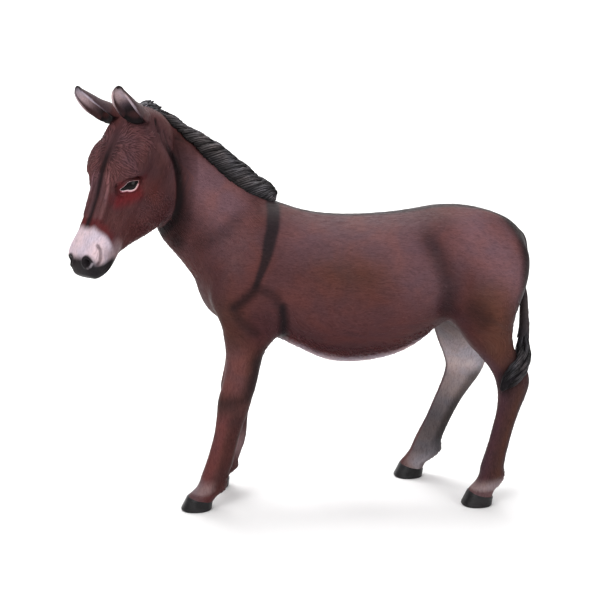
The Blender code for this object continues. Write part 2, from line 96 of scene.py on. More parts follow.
def pale_sweep():
    """A floor with a rounded rise at its back."""
    build = bmesh.new()
    profile = [(-FLOOR_HALF, 0.0), (FLOOR_BACK, 0.0)]
    profile += [(FLOOR_BACK + FLOOR_BEND * math.sin(a), FLOOR_BEND - FLOOR_BEND * math.cos(a))
                for a in np.linspace(0.1, math.pi / 2, 12)]
    profile.append((FLOOR_BACK + FLOOR_BEND, BACKDROP_TOP))
    rows = [[build.verts.new((x, y, z)) for x in (-FLOOR_HALF, FLOOR_HALF)] for y, z in profile]
    for low, high in zip(rows, rows[1:]):
        build.faces.new((low[0], low[1], high[1], high[0]))
    paper, _, shader = new_finish("studio_paper")
    shader.inputs["Base Color"].default_value = (0.94, 0.94, 0.94, 1)
    shader.inputs["Roughness"].default_value = 0.9
    shader.inputs["Specular IOR Level"].default_value = 0.1
    return dress(new_piece("floor_sweep", build), paper)


def soft_light(name, place, target, size, power):
    """A round area light at a place, aimed at its target."""
    light = bpy.data.lights.new(name, "AREA")
    light.shape = "DISK"
    light.size = size
    light.energy = power
    lamp = put(name, light)
    lamp.location = place
    lamp.rotation_euler = (Vector(target) - Vector(place)).to_track_quat("-Z", "Y").to_euler()


pale_sweep()
# Name, place, target, size and power.
for lamp in (("key_light", (-2.6, -3.6, 3.4), (0, 0, 0.7), 2.6, 120),
             ("fill_light", (3.4, -3.0, 2.2), (0.1, 0, 0.7), 2.4, 55),
             ("top_light", (0.3, 0.6, 4.2), (0.1, 0, 0.6), 3.0, 100),
             ("backdrop_light", (0.0, 2.6, 4.6), (0.0, 6.0, 1.2), 3.0, 260)):
    soft_light(*lamp)

room = bpy.data.worlds.new("studio_air")
room.use_nodes = True
air = room.node_tree.nodes["Background"].inputs
air["Color"].default_value = (1.0, 0.99, 0.99, 1)
air["Strength"].default_value = 0.50
bpy.context.scene.world = room
bpy.context.scene.view_settings.view_transform = "Standard"

lens = bpy.data.cameras.new("studio_camera")
lens.lens = 65
lens.sensor_width = 36
camera = put("studio_camera", lens)
back = Vector((math.sin(CAMERA_AZIMUTH) * math.cos(CAMERA_ELEVATION),
               -math.cos(CAMERA_AZIMUTH) * math.cos(CAMERA_ELEVATION), math.sin(CAMERA_ELEVATION)))
camera.location = CAMERA_AIM + back * CAMERA_DISTANCE
camera.rotation_euler = (-back).to_track_quat("-Z", "Y").to_euler()
bpy.context.scene.camera = camera


# ---------------------------------------------------------------------------------------------
# The body: one hollow casting of head, ears, neck, trunk, legs and tail root. Its form is lofted
# from sections, blended into one skin and then modelled with the folds, lids and nostrils.

# The head: where the poll is, how far it is turned to the left and how steeply it hangs.
POLL = Vector((-0.560, -0.145, 1.265))
HEAD_TURN = math.radians(45)
HEAD_PITCH = math.radians(66)

# Trunk: distance back, bottom, top, half width, and how much wider it is above than below.
TRUNK = [
    (-0.342, 0.736, 0.834, 0.040, 0.0),
    (-0.319, 0.676, 0.904, 0.088, 0.0),
    (-0.279, 0.630, 0.959, 0.122, 0.0),
    (-0.210, 0.601, 0.996, 0.146, -0.05),
    (-0.140, 0.581, 1.014, 0.160, -0.08),
    (-0.070, 0.554, 1.008, 0.172, -0.10),
    (0.000, 0.519, 0.984, 0.190, -0.13),
    (0.080, 0.484, 0.970, 0.209, -0.15),
    (0.160, 0.475, 0.966, 0.219, -0.15),
    (0.240, 0.481, 0.968, 0.220, -0.12),
    (0.320, 0.500, 0.974, 0.212, -0.08),
    (0.390, 0.534, 0.984, 0.199, 0.00),
    (0.450, 0.584, 0.994, 0.190, 0.05),
    (0.520, 0.624, 0.995, 0.186, 0.05),
    (0.590, 0.654, 0.985, 0.176, 0.05),
    (0.650, 0.684, 0.967, 0.156, 0.0),
    (0.702, 0.724, 0.942, 0.122, 0.0),
    (0.748, 0.774, 0.897, 0.064, 0.0),
]

# Neck: crest (x, z), throat (x, z), sideways offset, turn in degrees, half width.
NECK = [
    (0.000, 0.969, -0.290, 0.666, 0.000, 0, 0.138),
    (-0.085, 1.014, -0.332, 0.736, 0.000, 0, 0.128),
    (-0.150, 1.059, -0.364, 0.782, 0.000, 0, 0.110),
    (-0.215, 1.112, -0.391, 0.818, 0.000, 0, 0.097),
    (-0.285, 1.167, -0.423, 0.856, 0.000, 3, 0.088),
    (-0.350, 1.214, -0.452, 0.892, -0.002, 10, 0.081),
    (-0.410, 1.248, -0.468, 0.939, -0.014, 20, 0.074),
    (-0.460, 1.268, -0.485, 1.004, -0.040, 32, 0.070),
    (-0.505, 1.267, -0.512, 1.084, -0.080, 42, 0.066),
    (-0.545, 1.246, -0.545, 1.149, -0.120, 45, 0.050),
]

# Legs on the left: height, front, back, sideways offset, half width.
FORELEG = [
    (0.924, -0.190, -0.080, 0.075, 0.040),
    (0.864, -0.240, -0.060, 0.090, 0.056),
    (0.784, -0.292, -0.045, 0.104, 0.064),
    (0.704, -0.300, -0.040, 0.112, 0.066),
    (0.644, -0.275, -0.050, 0.114, 0.064),
    (0.604, -0.262, -0.064, 0.112, 0.060),
    (0.574, -0.260, -0.088, 0.110, 0.056),
    (0.544, -0.254, -0.116, 0.108, 0.053),
    (0.504, -0.252, -0.131, 0.106, 0.049),
    (0.454, -0.257, -0.143, 0.104, 0.046),
    (0.409, -0.267, -0.155, 0.103, 0.045),
    (0.369, -0.278, -0.168, 0.103, 0.046),
    (0.329, -0.282, -0.179, 0.103, 0.041),
    (0.294, -0.286, -0.193, 0.103, 0.035),
    (0.251, -0.293, -0.208, 0.103, 0.031),
    (0.199, -0.307, -0.222, 0.103, 0.032),
    (0.155, -0.321, -0.232, 0.103, 0.035),
    (0.119, -0.334, -0.245, 0.103, 0.038),
    (0.092, -0.343, -0.252, 0.103, 0.039),
    (0.069, -0.356, -0.254, 0.103, 0.037),
    (0.046, -0.380, -0.284, 0.103, 0.039),
    (0.024, -0.392, -0.300, 0.103, 0.040),
]
# The right foreleg stands a little further back below the knee: height, distance.
FORELEG_SETBACK = [(0.0, 0.056), (0.046, 0.048), (0.094, 0.042), (0.144, 0.046), (0.204, 0.044),
                   (0.264, 0.032), (0.344, 0.014), (0.404, 0.010), (0.470, 0.006), (0.560, 0.0)]

HINDLEG_LEFT = [
    (0.914, 0.500, 0.700, 0.080, 0.060),
    (0.854, 0.462, 0.742, 0.092, 0.082),
    (0.774, 0.446, 0.745, 0.098, 0.092),
    (0.704, 0.452, 0.726, 0.102, 0.090),
    (0.634, 0.479, 0.699, 0.110, 0.080),
    (0.584, 0.512, 0.691, 0.117, 0.069),
    (0.544, 0.542, 0.693, 0.123, 0.060),
    (0.509, 0.577, 0.708, 0.128, 0.053),
    (0.479, 0.603, 0.722, 0.132, 0.048),
    (0.452, 0.622, 0.742, 0.135, 0.045),
    (0.429, 0.633, 0.747, 0.137, 0.044),
    (0.404, 0.640, 0.744, 0.139, 0.042),
    (0.374, 0.644, 0.735, 0.140, 0.038),
    (0.339, 0.643, 0.722, 0.141, 0.033),
    (0.299, 0.637, 0.708, 0.142, 0.030),
    (0.252, 0.626, 0.695, 0.142, 0.028),
    (0.205, 0.615, 0.684, 0.142, 0.029),
    (0.163, 0.603, 0.675, 0.142, 0.033),
    (0.128, 0.593, 0.671, 0.142, 0.037),
    (0.099, 0.589, 0.674, 0.142, 0.038),
    (0.074, 0.575, 0.662, 0.142, 0.036),
    (0.050, 0.554, 0.640, 0.142, 0.038),
    (0.026, 0.543, 0.634, 0.142, 0.040),
]
HINDLEG_RIGHT = [
    (0.914, 0.490, 0.700, 0.080, 0.060),
    (0.854, 0.448, 0.738, 0.092, 0.082),
    (0.774, 0.432, 0.742, 0.098, 0.092),
    (0.704, 0.432, 0.716, 0.103, 0.090),
    (0.634, 0.448, 0.690, 0.112, 0.080),
    (0.584, 0.464, 0.682, 0.120, 0.070),
    (0.541, 0.480, 0.683, 0.127, 0.061),
    (0.504, 0.494, 0.680, 0.133, 0.054),
    (0.474, 0.508, 0.682, 0.138, 0.049),
    (0.444, 0.521, 0.678, 0.142, 0.046),
    (0.417, 0.530, 0.671, 0.145, 0.044),
    (0.394, 0.530, 0.663, 0.147, 0.042),
    (0.364, 0.523, 0.647, 0.148, 0.038),
    (0.322, 0.508, 0.618, 0.149, 0.033),
    (0.278, 0.490, 0.589, 0.150, 0.030),
    (0.223, 0.468, 0.560, 0.150, 0.029),
    (0.168, 0.441, 0.535, 0.150, 0.032),
    (0.129, 0.423, 0.522, 0.150, 0.037),
    (0.099, 0.411, 0.524, 0.150, 0.038),
    (0.074, 0.394, 0.502, 0.150, 0.037),
    (0.050, 0.374, 0.466, 0.150, 0.038),
    (0.026, 0.363, 0.456, 0.150, 0.040),
]

# Folds and hollows. On the face: down, forward, left. On the body: x, half distance apart, z.
FACE_FOLDS = [
    ([(0.170, -0.058, 0.098), (0.195, -0.038, 0.094), (0.216, -0.016, 0.084)], 0.030, -0.006),
    ([(0.440, -0.012, 0.050), (0.456, -0.026, 0.052)], 0.018, -0.012),
    ([(0.405, -0.040, 0.066), (0.430, -0.052, 0.066), (0.452, -0.056, 0.052)], 0.012, -0.004),
    ([(0.200, -0.075, 0.092), (0.260, -0.075, 0.080), (0.320, -0.060, 0.070)], 0.022, 0.004),
    ([(0.235, 0.002, 0.040), (0.330, 0.002, 0.034)], 0.018, 0.003),
]
BODY_FOLDS = [
    ([(-0.230, 0.150, 0.649), (-0.188, 0.160, 0.697), (-0.134, 0.165, 0.744)], 0.035, -0.008),
    ([(-0.066, 0.160, 0.674), (-0.066, 0.150, 0.594)], 0.025, -0.008),
    ([(0.440, 0.185, 0.854), (0.458, 0.175, 0.764), (0.462, 0.160, 0.674)], 0.050, -0.010),
]

# Skull and nose: distance down the face, front, back, half width.
SKULL = [
    (-0.078, -0.046, -0.120, 0.046),
    (-0.054, -0.018, -0.155, 0.074),
    (-0.016, -0.003, -0.176, 0.090),
    (0.030, 0.006, -0.184, 0.101),
    (0.066, 0.012, -0.185, 0.107),
    (0.105, 0.016, -0.180, 0.107),
    (0.150, 0.015, -0.170, 0.104),
    (0.200, 0.009, -0.155, 0.091),
    (0.245, 0.004, -0.140, 0.076),
    (0.295, 0.005, -0.126, 0.067),
    (0.340, 0.008, -0.112, 0.066),
    (0.385, 0.013, -0.100, 0.074),
    (0.425, 0.010, -0.088, 0.075),
    (0.455, -0.002, -0.078, 0.064),
    (0.479, -0.022, -0.062, 0.042),
]
# Lower jaw: distance down the face, front, back, half width.
JAW = [
    (0.050, -0.120, -0.210, 0.046),
    (0.110, -0.120, -0.242, 0.058),
    (0.180, -0.110, -0.256, 0.062),
    (0.240, -0.090, -0.250, 0.058),
    (0.285, -0.070, -0.215, 0.052),
    (0.335, -0.050, -0.158, 0.049),
    (0.385, -0.040, -0.114, 0.046),
    (0.425, -0.036, -0.092, 0.043),
    (0.455, -0.044, -0.078, 0.032),
]
# Cheek, brow and temple swellings: middle, and half sizes down the face, forward and sideways.
CHEEK = ((0.150, -0.135, 0.050), (0.125, 0.120, 0.044))
BROW = ((0.115, -0.036, 0.068), (0.080, 0.046, 0.054))
TEMPLE = ((0.095, -0.098, 0.055), (0.105, 0.086, 0.050))

# Ear: its root on the head (down, forward, left), its length, and the corners of each of its sides.
EAR_ROOT = (-0.028, -0.030, 0.052)
EAR_LENGTH = 0.166
EAR_SIDES = 19
# Then distance out along it (0 to 1), half width, depth from back to rim, hollow, rim's lead.
EAR = [
    (0.00, 0.034, 0.040, 0.0, 0.010),
    (0.14, 0.038, 0.050, 0.0, 0.024),
    (0.22, 0.040, 0.054, 0.30, 0.028),
    (0.32, 0.042, 0.052, 0.85, 0.029),
    (0.50, 0.042, 0.041, 1.0, 0.028),
    (0.66, 0.039, 0.034, 1.0, 0.025),
    (0.80, 0.033, 0.026, 1.0, 0.020),
    (0.91, 0.024, 0.017, 1.0, 0.013),
    (0.965, 0.015, 0.011, 0.8, 0.005),
    (0.990, 0.0075, 0.006, 0.3, 0.001),
    (1.00, 0.002, 0.002, 0.0, -0.001),
]

# The top of the neck under the mane: middle line (x, y, z), half width, half depth.
CREST = [
    (-0.520, -0.110, 1.262, 0.030, 0.022),
    (-0.480, -0.080, 1.266, 0.036, 0.028),
    (-0.440, -0.054, 1.250, 0.038, 0.030),
    (-0.395, -0.030, 1.212, 0.038, 0.030),
    (-0.335, -0.010, 1.156, 0.038, 0.030),
    (-0.270, -0.003, 1.098, 0.036, 0.026),
]

# Tail: middle line (x, y, z), half width, half depth.
TAIL = [
    (0.690, 0.000, 0.911, 0.018, 0.022),
    (0.734, 0.000, 0.883, 0.021, 0.020),
    (0.749, -0.002, 0.834, 0.021, 0.017),
    (0.749, -0.004, 0.784, 0.020, 0.015),
    (0.746, -0.008, 0.734, 0.018, 0.013),
    (0.754, -0.018, 0.684, 0.017, 0.013),
    (0.752, -0.034, 0.634, 0.017, 0.015),
    (0.750, -0.050, 0.584, 0.019, 0.018),
    (0.744, -0.062, 0.549, 0.021, 0.021),
]


def curve_at(t, a, b, c, d):
    """The smooth curve that runs from b at t = 0 to c at 1, with a before it and d after."""
    curve = 2 * b + (c - a) * t + (2 * a - 5 * b + 4 * c - d) * t * t
    return 0.5 * (curve + (3 * b - a - 3 * c + d) * t**3)


def between(rows, steps):
    """Rows of a smooth curve through the given rows, with steps spans between each two."""
    rows = np.array(rows, float)
    last = len(rows) - 1
    out = []
    for i in range(last):
        around = rows[max(i - 1, 0)], rows[i], rows[i + 1], rows[min(i + 2, last)]
        out += [curve_at(k / steps, *around) for k in range(steps)]
    return out + [rows[last]]


def oval(count, wide, high, power=2.0, egg=0.0):
    """Sideways and upward offsets of a rounded section, wider above where egg is positive."""
    out = []
    for k in range(count):
        c = math.cos(2 * math.pi * k / count)
        s = math.sin(2 * math.pi * k / count)
        v = math.copysign(abs(s) ** (2 / power), s)
        out.append((wide * math.copysign(abs(c) ** (2 / power), c) * (1 + egg * v), high * v))
    return out


def bridge(build, rows, capped=True):
    """Faces between each ring of vertices and the next, and over both ends."""
    for low, high in zip(rows, rows[1:]):
        for k in range(len(low)):
            n = (k + 1) % len(low)
            build.faces.new((low[k], low[n], high[n], high[k]))
    if capped:
        build.faces.new(rows[0][::-1])
        build.faces.new(rows[-1])


def loft(name, rings):
    """A closed solid through rings of points."""
    build = bmesh.new()
    rows = [[build.verts.new(p) for p in ring] for ring in rings]
    bridge(build, rows)
    bmesh.ops.triangulate(build, faces=build.faces)
    bmesh.ops.recalc_face_normals(build, faces=build.faces)
    return new_piece(name, build)


def tube(name, path, count, steps, power=2.0):
    """A rounded solid along a path of (x, y, z, half width, half depth)."""
    rows = between(path, steps)
    rings = []
    for i, row in enumerate(rows):
        ahead = Vector(rows[min(i + 1, len(rows) - 1)][:3]) - Vector(rows[max(i - 1, 0)][:3])
        ahead.normalize()
        side = Vector((0, 1, 0)) - ahead * ahead.y
        side.normalize()
        up = ahead.cross(side)
        middle = Vector(row[:3])
        rings.append([middle + side * y + up * z for y, z in oval(count, row[3], row[4], power)])
    return loft(name, rings)


FACE_DOWN = Vector((-math.cos(HEAD_TURN) * math.cos(HEAD_PITCH),
                    -math.sin(HEAD_TURN) * math.cos(HEAD_PITCH), -math.sin(HEAD_PITCH)))
FACE_LEFT = Vector((math.sin(HEAD_TURN), -math.cos(HEAD_TURN), 0))
FACE_FRONT = FACE_DOWN.cross(FACE_LEFT)


def face(down, front, left):
    """A point on the head, from the poll: down the face, forward of it, and to its left."""
    return POLL + FACE_DOWN * down + FACE_FRONT * front + FACE_LEFT * left


def head_loft(rows, power):
    """A solid down the face through rows of distance down, front, back and half width."""
    rings = []
    for down, front, back, half in between(rows, 4):
        middle, high = (front + back) / 2, (front - back) / 2
        rings.append([face(down, middle + v, w) for w, v in oval(40, half, high, power)])
    return loft("body", rings)


def swelling(middle, half):
    """Rounded masses on both sides of the head."""
    out = []
    for side in (1, -1):
        rings = []
        for k in range(1, 16):
            down = -math.cos(math.pi * k / 16)
            r = math.sin(math.pi * k / 16)
            ring = oval(24, half[2] * r, half[1] * r)
            d = middle[0] + down * half[0]
            rings.append([face(d, middle[1] + v, (middle[2] + w) * side) for w, v in ring])
        out.append(loft("body", rings))
    return out


def leg(rows, side):
    """A leg through rows of height, front, back, distance from the middle and half width."""
    rings = []
    for height, front, back, offset, half in between(rows, 4):
        x, y, deep = (front + back) / 2, offset * side, (back - front) / 2
        rings.append([(x + u, y + w, height) for w, u in oval(32, half, deep, 2.2)])
    return loft("body", rings)


def ear_ways(side):
    """An ear's root, the way it points and the way it opens."""
    down, front, left = EAR_ROOT
    ahead = Vector((-math.cos(HEAD_TURN), -math.sin(HEAD_TURN), 0))
    tip_way = (ahead * 0.77 + FACE_LEFT * (0.27 * side) + Vector((0, 0, 0.575))).normalized()
    open_way = ahead * 0.60 + FACE_LEFT * 0.06 - Vector((0, 0, 0.80))
    open_way = (open_way - tip_way * open_way.dot(tip_way)).normalized()
    return face(down, front, left * side), tip_way, open_way


def ear(name, side):
    """A deep cupped leaf, open to the front."""
    root, tip_way, open_way = ear_ways(side)
    across = tip_way.cross(open_way).normalized()
    rings = []
    for along, half, deep, scoop, fore in between(EAR, 5):
        middle = root + tip_way * EAR_LENGTH * along + open_way * fore
        ring = []
        for k in range(EAR_SIDES):
            a = math.pi * k / (EAR_SIDES - 1)
            ring.append(middle + across * half * math.cos(a) - open_way * deep * math.sin(a))
        wall = min(0.007, half * 0.3)
        for k in range(EAR_SIDES):
            a = math.pi * (1 - k / (EAR_SIDES - 1))
            back = (deep - 1.2 * wall) * scoop - 0.010 * (1 - scoop)
            ring.append(middle + across * (half - wall) * math.cos(a) - open_way * back * math.sin(a))
        rings.append(ring)
    return loft(name, rings)


def whole_body():
    """Every mass of the body but the ears and the tail, overlapping."""
    rings = []
    for x, low, high, half, egg in between(TRUNK, 4):
        middle, tall = (low + high) / 2, (high - low) / 2
        rings.append([(x, w, middle + v) for w, v in oval(64, half, tall, 2.15, egg)])
    parts = [loft("body", rings)]
    rings = []
    for cx, cz, tx, tz, y, turn, half in between(NECK, 4):
        crest, throat = Vector((cx, y, cz)), Vector((tx, y, tz))
        middle, up = (crest + throat) / 2, (crest - throat) / 2
        turned = math.radians(turn)
        side = Vector((math.sin(turned), -math.cos(turned), 0))
        rings.append([middle + side * w + up * v for w, v in oval(48, half, 1.0, 2.0, -0.12)])
    parts += [loft("body", rings), tube("body", CREST, 32, 6), leg(FORELEG, -1)]
    setback = np.array(FORELEG_SETBACK)
    moved = []
    for height, front, back, offset, half in FORELEG:
        d = float(np.interp(height, setback[:, 0], setback[:, 1]))
        moved.append((height, front + d, back + d, offset, half))
    parts += [leg(moved, 1), leg(HINDLEG_LEFT, -1), leg(HINDLEG_RIGHT, 1)]
    parts += [head_loft(SKULL, 2.9), head_loft(JAW, 2.4)]
    for middle, half in (CHEEK, BROW, TEMPLE):
        parts += swelling(middle, half)
    return parts


def joined(name, parts):
    """One object made of all the parts."""
    bpy.ops.object.select_all(action="DESELECT")
    for part in parts:
        part.select_set(True)
    bpy.context.view_layer.objects.active = parts[0]
    bpy.ops.object.join()
    parts[0].name = name
    return parts[0]


def settled(obj):
    """The object with its modifiers made final."""
    graph = bpy.context.evaluated_depsgraph_get()
    mesh = bpy.data.meshes.new_from_object(obj.evaluated_get(graph))
    obj.modifiers.clear()
    obj.data = mesh
    return obj


def ramp(value, low, high):
    """0 below low, 1 above high, smooth between."""
    t = np.clip((value - low) / (high - low), 0, 1)
    return t * t * (3 - 2 * t)


def points_of(obj, what="co"):
    out = np.empty(len(obj.data.vertices) * 3, np.float32)
    obj.data.vertices.foreach_get(what, out)
    return out.reshape(-1, 3).astype(float)


def in_face(points):
    """Down, front and left of every point in the head's own directions."""
    away = points - np.array(POLL)
    return away @ np.array(FACE_DOWN), away @ np.array(FACE_FRONT), away @ np.array(FACE_LEFT)


def softness(points):
    """How strongly each point is blended: the body much, the head and the lower legs little."""
    x, z = points[:, 0], points[:, 2]
    front = in_face(points)[1]
    body = ramp(z, 0.40, 0.58)
    neck = 1 - 0.55 * ramp(-x, 0.22, 0.36)
    head = 1 - 0.93 * ramp(front, -0.235, -0.15) * (x < -0.3)
    return np.clip(0.035 + body * neck * head, 0.035, 1)


# How often the form is smoothed, the shares in which that is weighed, and its grid.
BLEND_ROUNDS = 120
BLEND_SHARES = 40
BLEND_GRID = 0.006


def blend(obj):
    """Smooths the object by its softness."""
    group = obj.vertex_groups.new(name="soft")
    steps = np.round(softness(points_of(obj)) * BLEND_SHARES).astype(int)
    for step in np.unique(steps):
        group.add(np.nonzero(steps == step)[0].tolist(), step / BLEND_SHARES, "REPLACE")
    smooth = obj.modifiers.new("smooth", "SMOOTH")
    smooth.factor = 0.5
    smooth.iterations = BLEND_ROUNDS
    smooth.vertex_group = group.name
    settled(obj)
    obj.vertex_groups.clear()


def nearness(points, path, radius):
    """1 on the path, falling to 0 at the radius from it."""
    path = np.array(path, float)
    best = np.full(len(points), np.inf)
    for a, b in zip(path, path[1:]):
        along = b - a
        t = np.clip(((points - a) @ along) / (along @ along), 0, 1)
        best = np.minimum(best, ((points - a - t[:, None] * along) ** 2).sum(1))
    return np.clip(1 - best / radius**2, 0, 1) ** 2


def set_points(obj, points):
    obj.data.vertices.foreach_set("co", points.astype(np.float32).ravel())
    obj.data.update()


def on_both_sides(path):
    """A path on the face, on its left and its right."""
    return [[face(d, f, w * side) for d, f, w in path] for side in (1, -1)]


def shape_details(obj):
    """Hollows and folds that the blended form doesn't have."""
    points, normals = points_of(obj), points_of(obj, "normal")
    folds = [(sided, *how) for path, *how in FACE_FOLDS for sided in on_both_sides(path)]
    folds += [([(x, y * side, z) for x, y, z in path], *how) for path, *how in BODY_FOLDS for side in (1, -1)]
    for path, radius, depth in folds:
        points += normals * (nearness(points, path, radius) * depth)[:, None]
    set_points(obj, points)


def remeshed(obj):
    """The object's outer surface alone, on an even grid."""
    again = obj.modifiers.new("grid", "REMESH")
    again.mode = "VOXEL"
    again.voxel_size = BLEND_GRID
    return settled(obj)


def unite(obj, other):
    """Adds the other object to this one, as one closed surface."""
    union = obj.modifiers.new("union", "BOOLEAN")
    union.operation = "UNION"
    union.solver = "EXACT"
    union.object = other
    settled(obj)
    bpy.data.objects.remove(other, do_unlink=True)


def relax(obj, weights, rounds):
    """Smooths the object where the weights say."""
    edges = np.empty(len(obj.data.edges) * 2, np.int32)
    obj.data.edges.foreach_get("vertices", edges)
    first, second = edges.reshape(-1, 2).T
    points = points_of(obj)
    count = np.bincount(np.concatenate([first, second]), minlength=len(points))[:, None]
    for _ in range(rounds):
        total = np.zeros_like(points)
        for axis in range(3):
            total[:, axis] = np.bincount(first, points[second, axis], len(points))
            total[:, axis] += np.bincount(second, points[first, axis], len(points))
        points += (total / count - points) * (weights * 0.5)[:, None]
    set_points(obj, points)


def refine(obj, wanted):
    """Cuts the faces whose corners are all wanted into four."""
    build = bmesh.new()
    build.from_mesh(obj.data)
    build.verts.ensure_lookup_table()
    faces = [f for f in build.faces if all(wanted[v.index] for v in f.verts)]
    edges = list({e for f in faces for e in f.edges})
    bmesh.ops.subdivide_edges(build, edges=edges, cuts=1, use_grid_fill=True, smooth=0.0)
    build.to_mesh(obj.data)
    build.free()


def head_reach(points):
    """How far each point lies from the head's middle line, and how far down the face."""
    down, front, left = in_face(points)
    return np.hypot(front + 0.09, left), down


skin = remeshed(joined("donkey_skin", whole_body()))
blend(skin)
shape_details(skin)
for part in (ear("ear", 1), ear("ear", -1), tube("tail", TAIL, 24, 6)):
    unite(skin, part)
away, down = head_reach(points_of(skin))
refine(skin, (away < 0.19) & (down < 0.52) & (down > -0.30))
away, down = head_reach(points_of(skin))
relax(skin, ramp(0.18 - away, 0.0, 0.02) * ((away < 0.18) & (down < 0.50) & (down > -0.28)), 3)

# The eye on the left of the face: its middle, the way it looks and the way it lies, as down, forward
# and left. Then its outline from the inner corner, out along the lower lid and back over the upper,
# as distances along and down from the middle.
EYE_MIDDLE = (0.1880, -0.0341, 0.0868)
EYE_LOOKS = (0.300, 0.300, 0.905)
EYE_LIES = (-0.690, -0.587, 0.423)
EYE_OUTLINE = [(-0.0312, -0.0018), (-0.0275, 0.0014), (-0.0215, 0.0022), (-0.0160, 0.0026),
               (-0.0118, 0.0040), (-0.0070, 0.0078), (0.0000, 0.0104), (0.0076, 0.0112),
               (0.0140, 0.0090), (0.0197, 0.0052), (0.0256, 0.0012), (0.0312, -0.0036),
               (0.0275, -0.0068), (0.0213, -0.0102), (0.0124, -0.0138), (0.0040, -0.0160),
               (-0.0040, -0.0154), (-0.0122, -0.0122), (-0.0225, -0.0082), (-0.0295, -0.0052)]
EYE_POINTS = 72
# The dome that eye and lids share: its radius, and how far it stands out.
EYE_CURVE = 0.032
EYE_STAND = 0.0045
# The lids: how high they are, how deep the eye lies in them and how far round it they are carved.
LID_HEIGHT = 0.0016
LENS_DEPTH = 0.0040
LID_REACH = 0.024
# The nostril: its place as down, forward and sideways, how deep it is and how high its rim.
NOSTRIL = (0.441, -0.001, 0.036)
NOSTRIL_DEPTH = 0.015
NOSTRIL_RIM = 0.0032


def rounded(points, count):
    """A smooth closed line through the points."""
    points = np.array(points, float)
    last = len(points)
    spans = [k / count * last for k in range(count)]
    return np.array([curve_at(t - int(t), *[points[(int(t) + j) % last] for j in (-1, 0, 1, 2)])
                     for t in spans])


def eye_frame(side):
    """Middle of the eye, and the directions along it, down it and out of it."""

    def way(down, front, left):
        return np.array((FACE_DOWN * down + FACE_FRONT * front + FACE_LEFT * left * side).normalized())

    middle = np.array(face(EYE_MIDDLE[0], EYE_MIDDLE[1], EYE_MIDDLE[2] * side))
    out, along = way(*EYE_LOOKS), way(*EYE_LIES)
    return middle, along, np.cross(along, out) * side, out


def eye_dome(u, v):
    """How far out the eye stands, at a place along and down from its middle."""
    return EYE_STAND + np.sqrt(np.maximum(EYE_CURVE**2 - (0.8 * u) ** 2 - v**2, 0.0)) - EYE_CURVE


def eye_room(points, side):
    """How far each point lies outside the eye's outline (negative inside), then along, down and out."""
    middle, along, below, out = eye_frame(side)
    line = rounded(EYE_OUTLINE, EYE_POINTS)
    away = points - middle
    u, v, w = away @ along, away @ below, away @ out
    room = np.full(len(points), 1.0)
    near = np.nonzero((np.hypot(u, v) < 0.060) & (np.abs(w) < 0.035))[0]
    gap = np.hypot(u[near, None] - line[:, 0], v[near, None] - line[:, 1])
    turned = np.arctan2(line[:, 1], line[:, 0])
    order = np.argsort(turned)
    reach = np.interp(np.arctan2(v[near], u[near]), turned[order], np.hypot(*line.T)[order],
                      period=2 * math.pi)
    inside = np.hypot(u[near], v[near]) < reach
    room[near] = np.where(inside, -gap.min(1), gap.min(1))
    return room, u, v, w


def near_face(points, path, radius):
    """1 near a path on the face, on both sides."""
    return np.maximum(*[nearness(points, line, radius) for line in on_both_sides(path)])


def carve_face(obj):
    """Sets the eyes in, with a lid round each, and hollows the nostrils and the folds of the muzzle."""
    points = points_of(obj)
    for side in (1, -1):
        room, u, v, w = eye_room(points, side)
        near = room < LID_REACH
        upper = ramp(-v[near], -0.004, 0.006)
        room, w = room[near], w[near]
        dome = eye_dome(np.clip(u[near], -0.036, 0.036), np.clip(v[near], -0.02, 0.02))
        lid = LID_HEIGHT + LID_HEIGHT * upper
        aim = dome - LENS_DEPTH * ramp(-room, -0.0010, 0.0025) + lid * ramp(room, 0.0, 0.0015)
        # The crease that parts the lids from the face, deeper above.
        aim -= (0.0016 + 0.0026 * upper) * np.exp(-((room - 0.0095) / 0.0030) ** 2)
        hold = 1 - ramp(room, 0.006, 0.022)
        points[near] += eye_frame(side)[3] * ((aim - w) * hold)[:, None]
    set_points(obj, points)
    normals = points_of(obj, "normal")
    move = np.zeros(len(points))
    for side in (1, -1):
        pit = face(NOSTRIL[0], NOSTRIL[1], NOSTRIL[2] * side)
        far = np.linalg.norm((points - np.array(pit)), axis=1)
        move -= NOSTRIL_DEPTH * (1 - ramp(far, 0.003, 0.013))
        move += NOSTRIL_RIM * np.exp(-((far - 0.0165) / 0.0050) ** 2)
    for depth, radius, near, path in (
        (-0.0032, 0.0070, near_face, NOSE_FOLD),
        (0.0018, 0.012, near_face, [(0.390, 0.004, 0.048), (0.405, 0.001, 0.056), (0.424, -0.006, 0.060)]),
        (-0.0060, 0.0085, nearness, EAR_SLIT),
        (-0.0016, 0.0050, nearness, EAR_WRINKLE),
        (-0.0045, 0.008, near_face, MOUTH),
        (0.0032, 0.014, near_face, NOSE_RIDGE),
        (-0.0030, 0.018, near_face, [(0.215, -0.012, 0.056), (0.270, -0.010, 0.056), (0.310, -0.006, 0.052)]),
        *[(-0.0025, 0.009, nearness, crease) for crease in NECK_CREASES],
    ):
        move += depth * near(points, path, radius)
    set_points(obj, points + normals * move[:, None])


def tint(red, green, blue):
    """A paint's colour from its 0 to 255 swatch."""
    swatch = np.array([red, green, blue]) / 255
    return np.where(swatch <= 0.04045, swatch / 12.92, ((swatch + 0.055) / 1.055) ** 2.4)


# The paints, each laid over the ones before it with a soft edge.
COAT = tint(72, 43, 43)
# A pale lilac, for drybrushed paint and for painted highlights.
LILAC = tint(98, 70, 74)
MAROON = tint(55, 25, 28)
RED = tint(92, 22, 27)
UMBER = tint(74, 46, 34)
SHADOW = tint(22, 12, 15)
# The darkest, for painted shade in the hollows and creases behind the cheek.
DEEP_SHADE = tint(12, 4, 6)
BLACK = tint(7, 5, 7)
WHITE = tint(200, 183, 191)


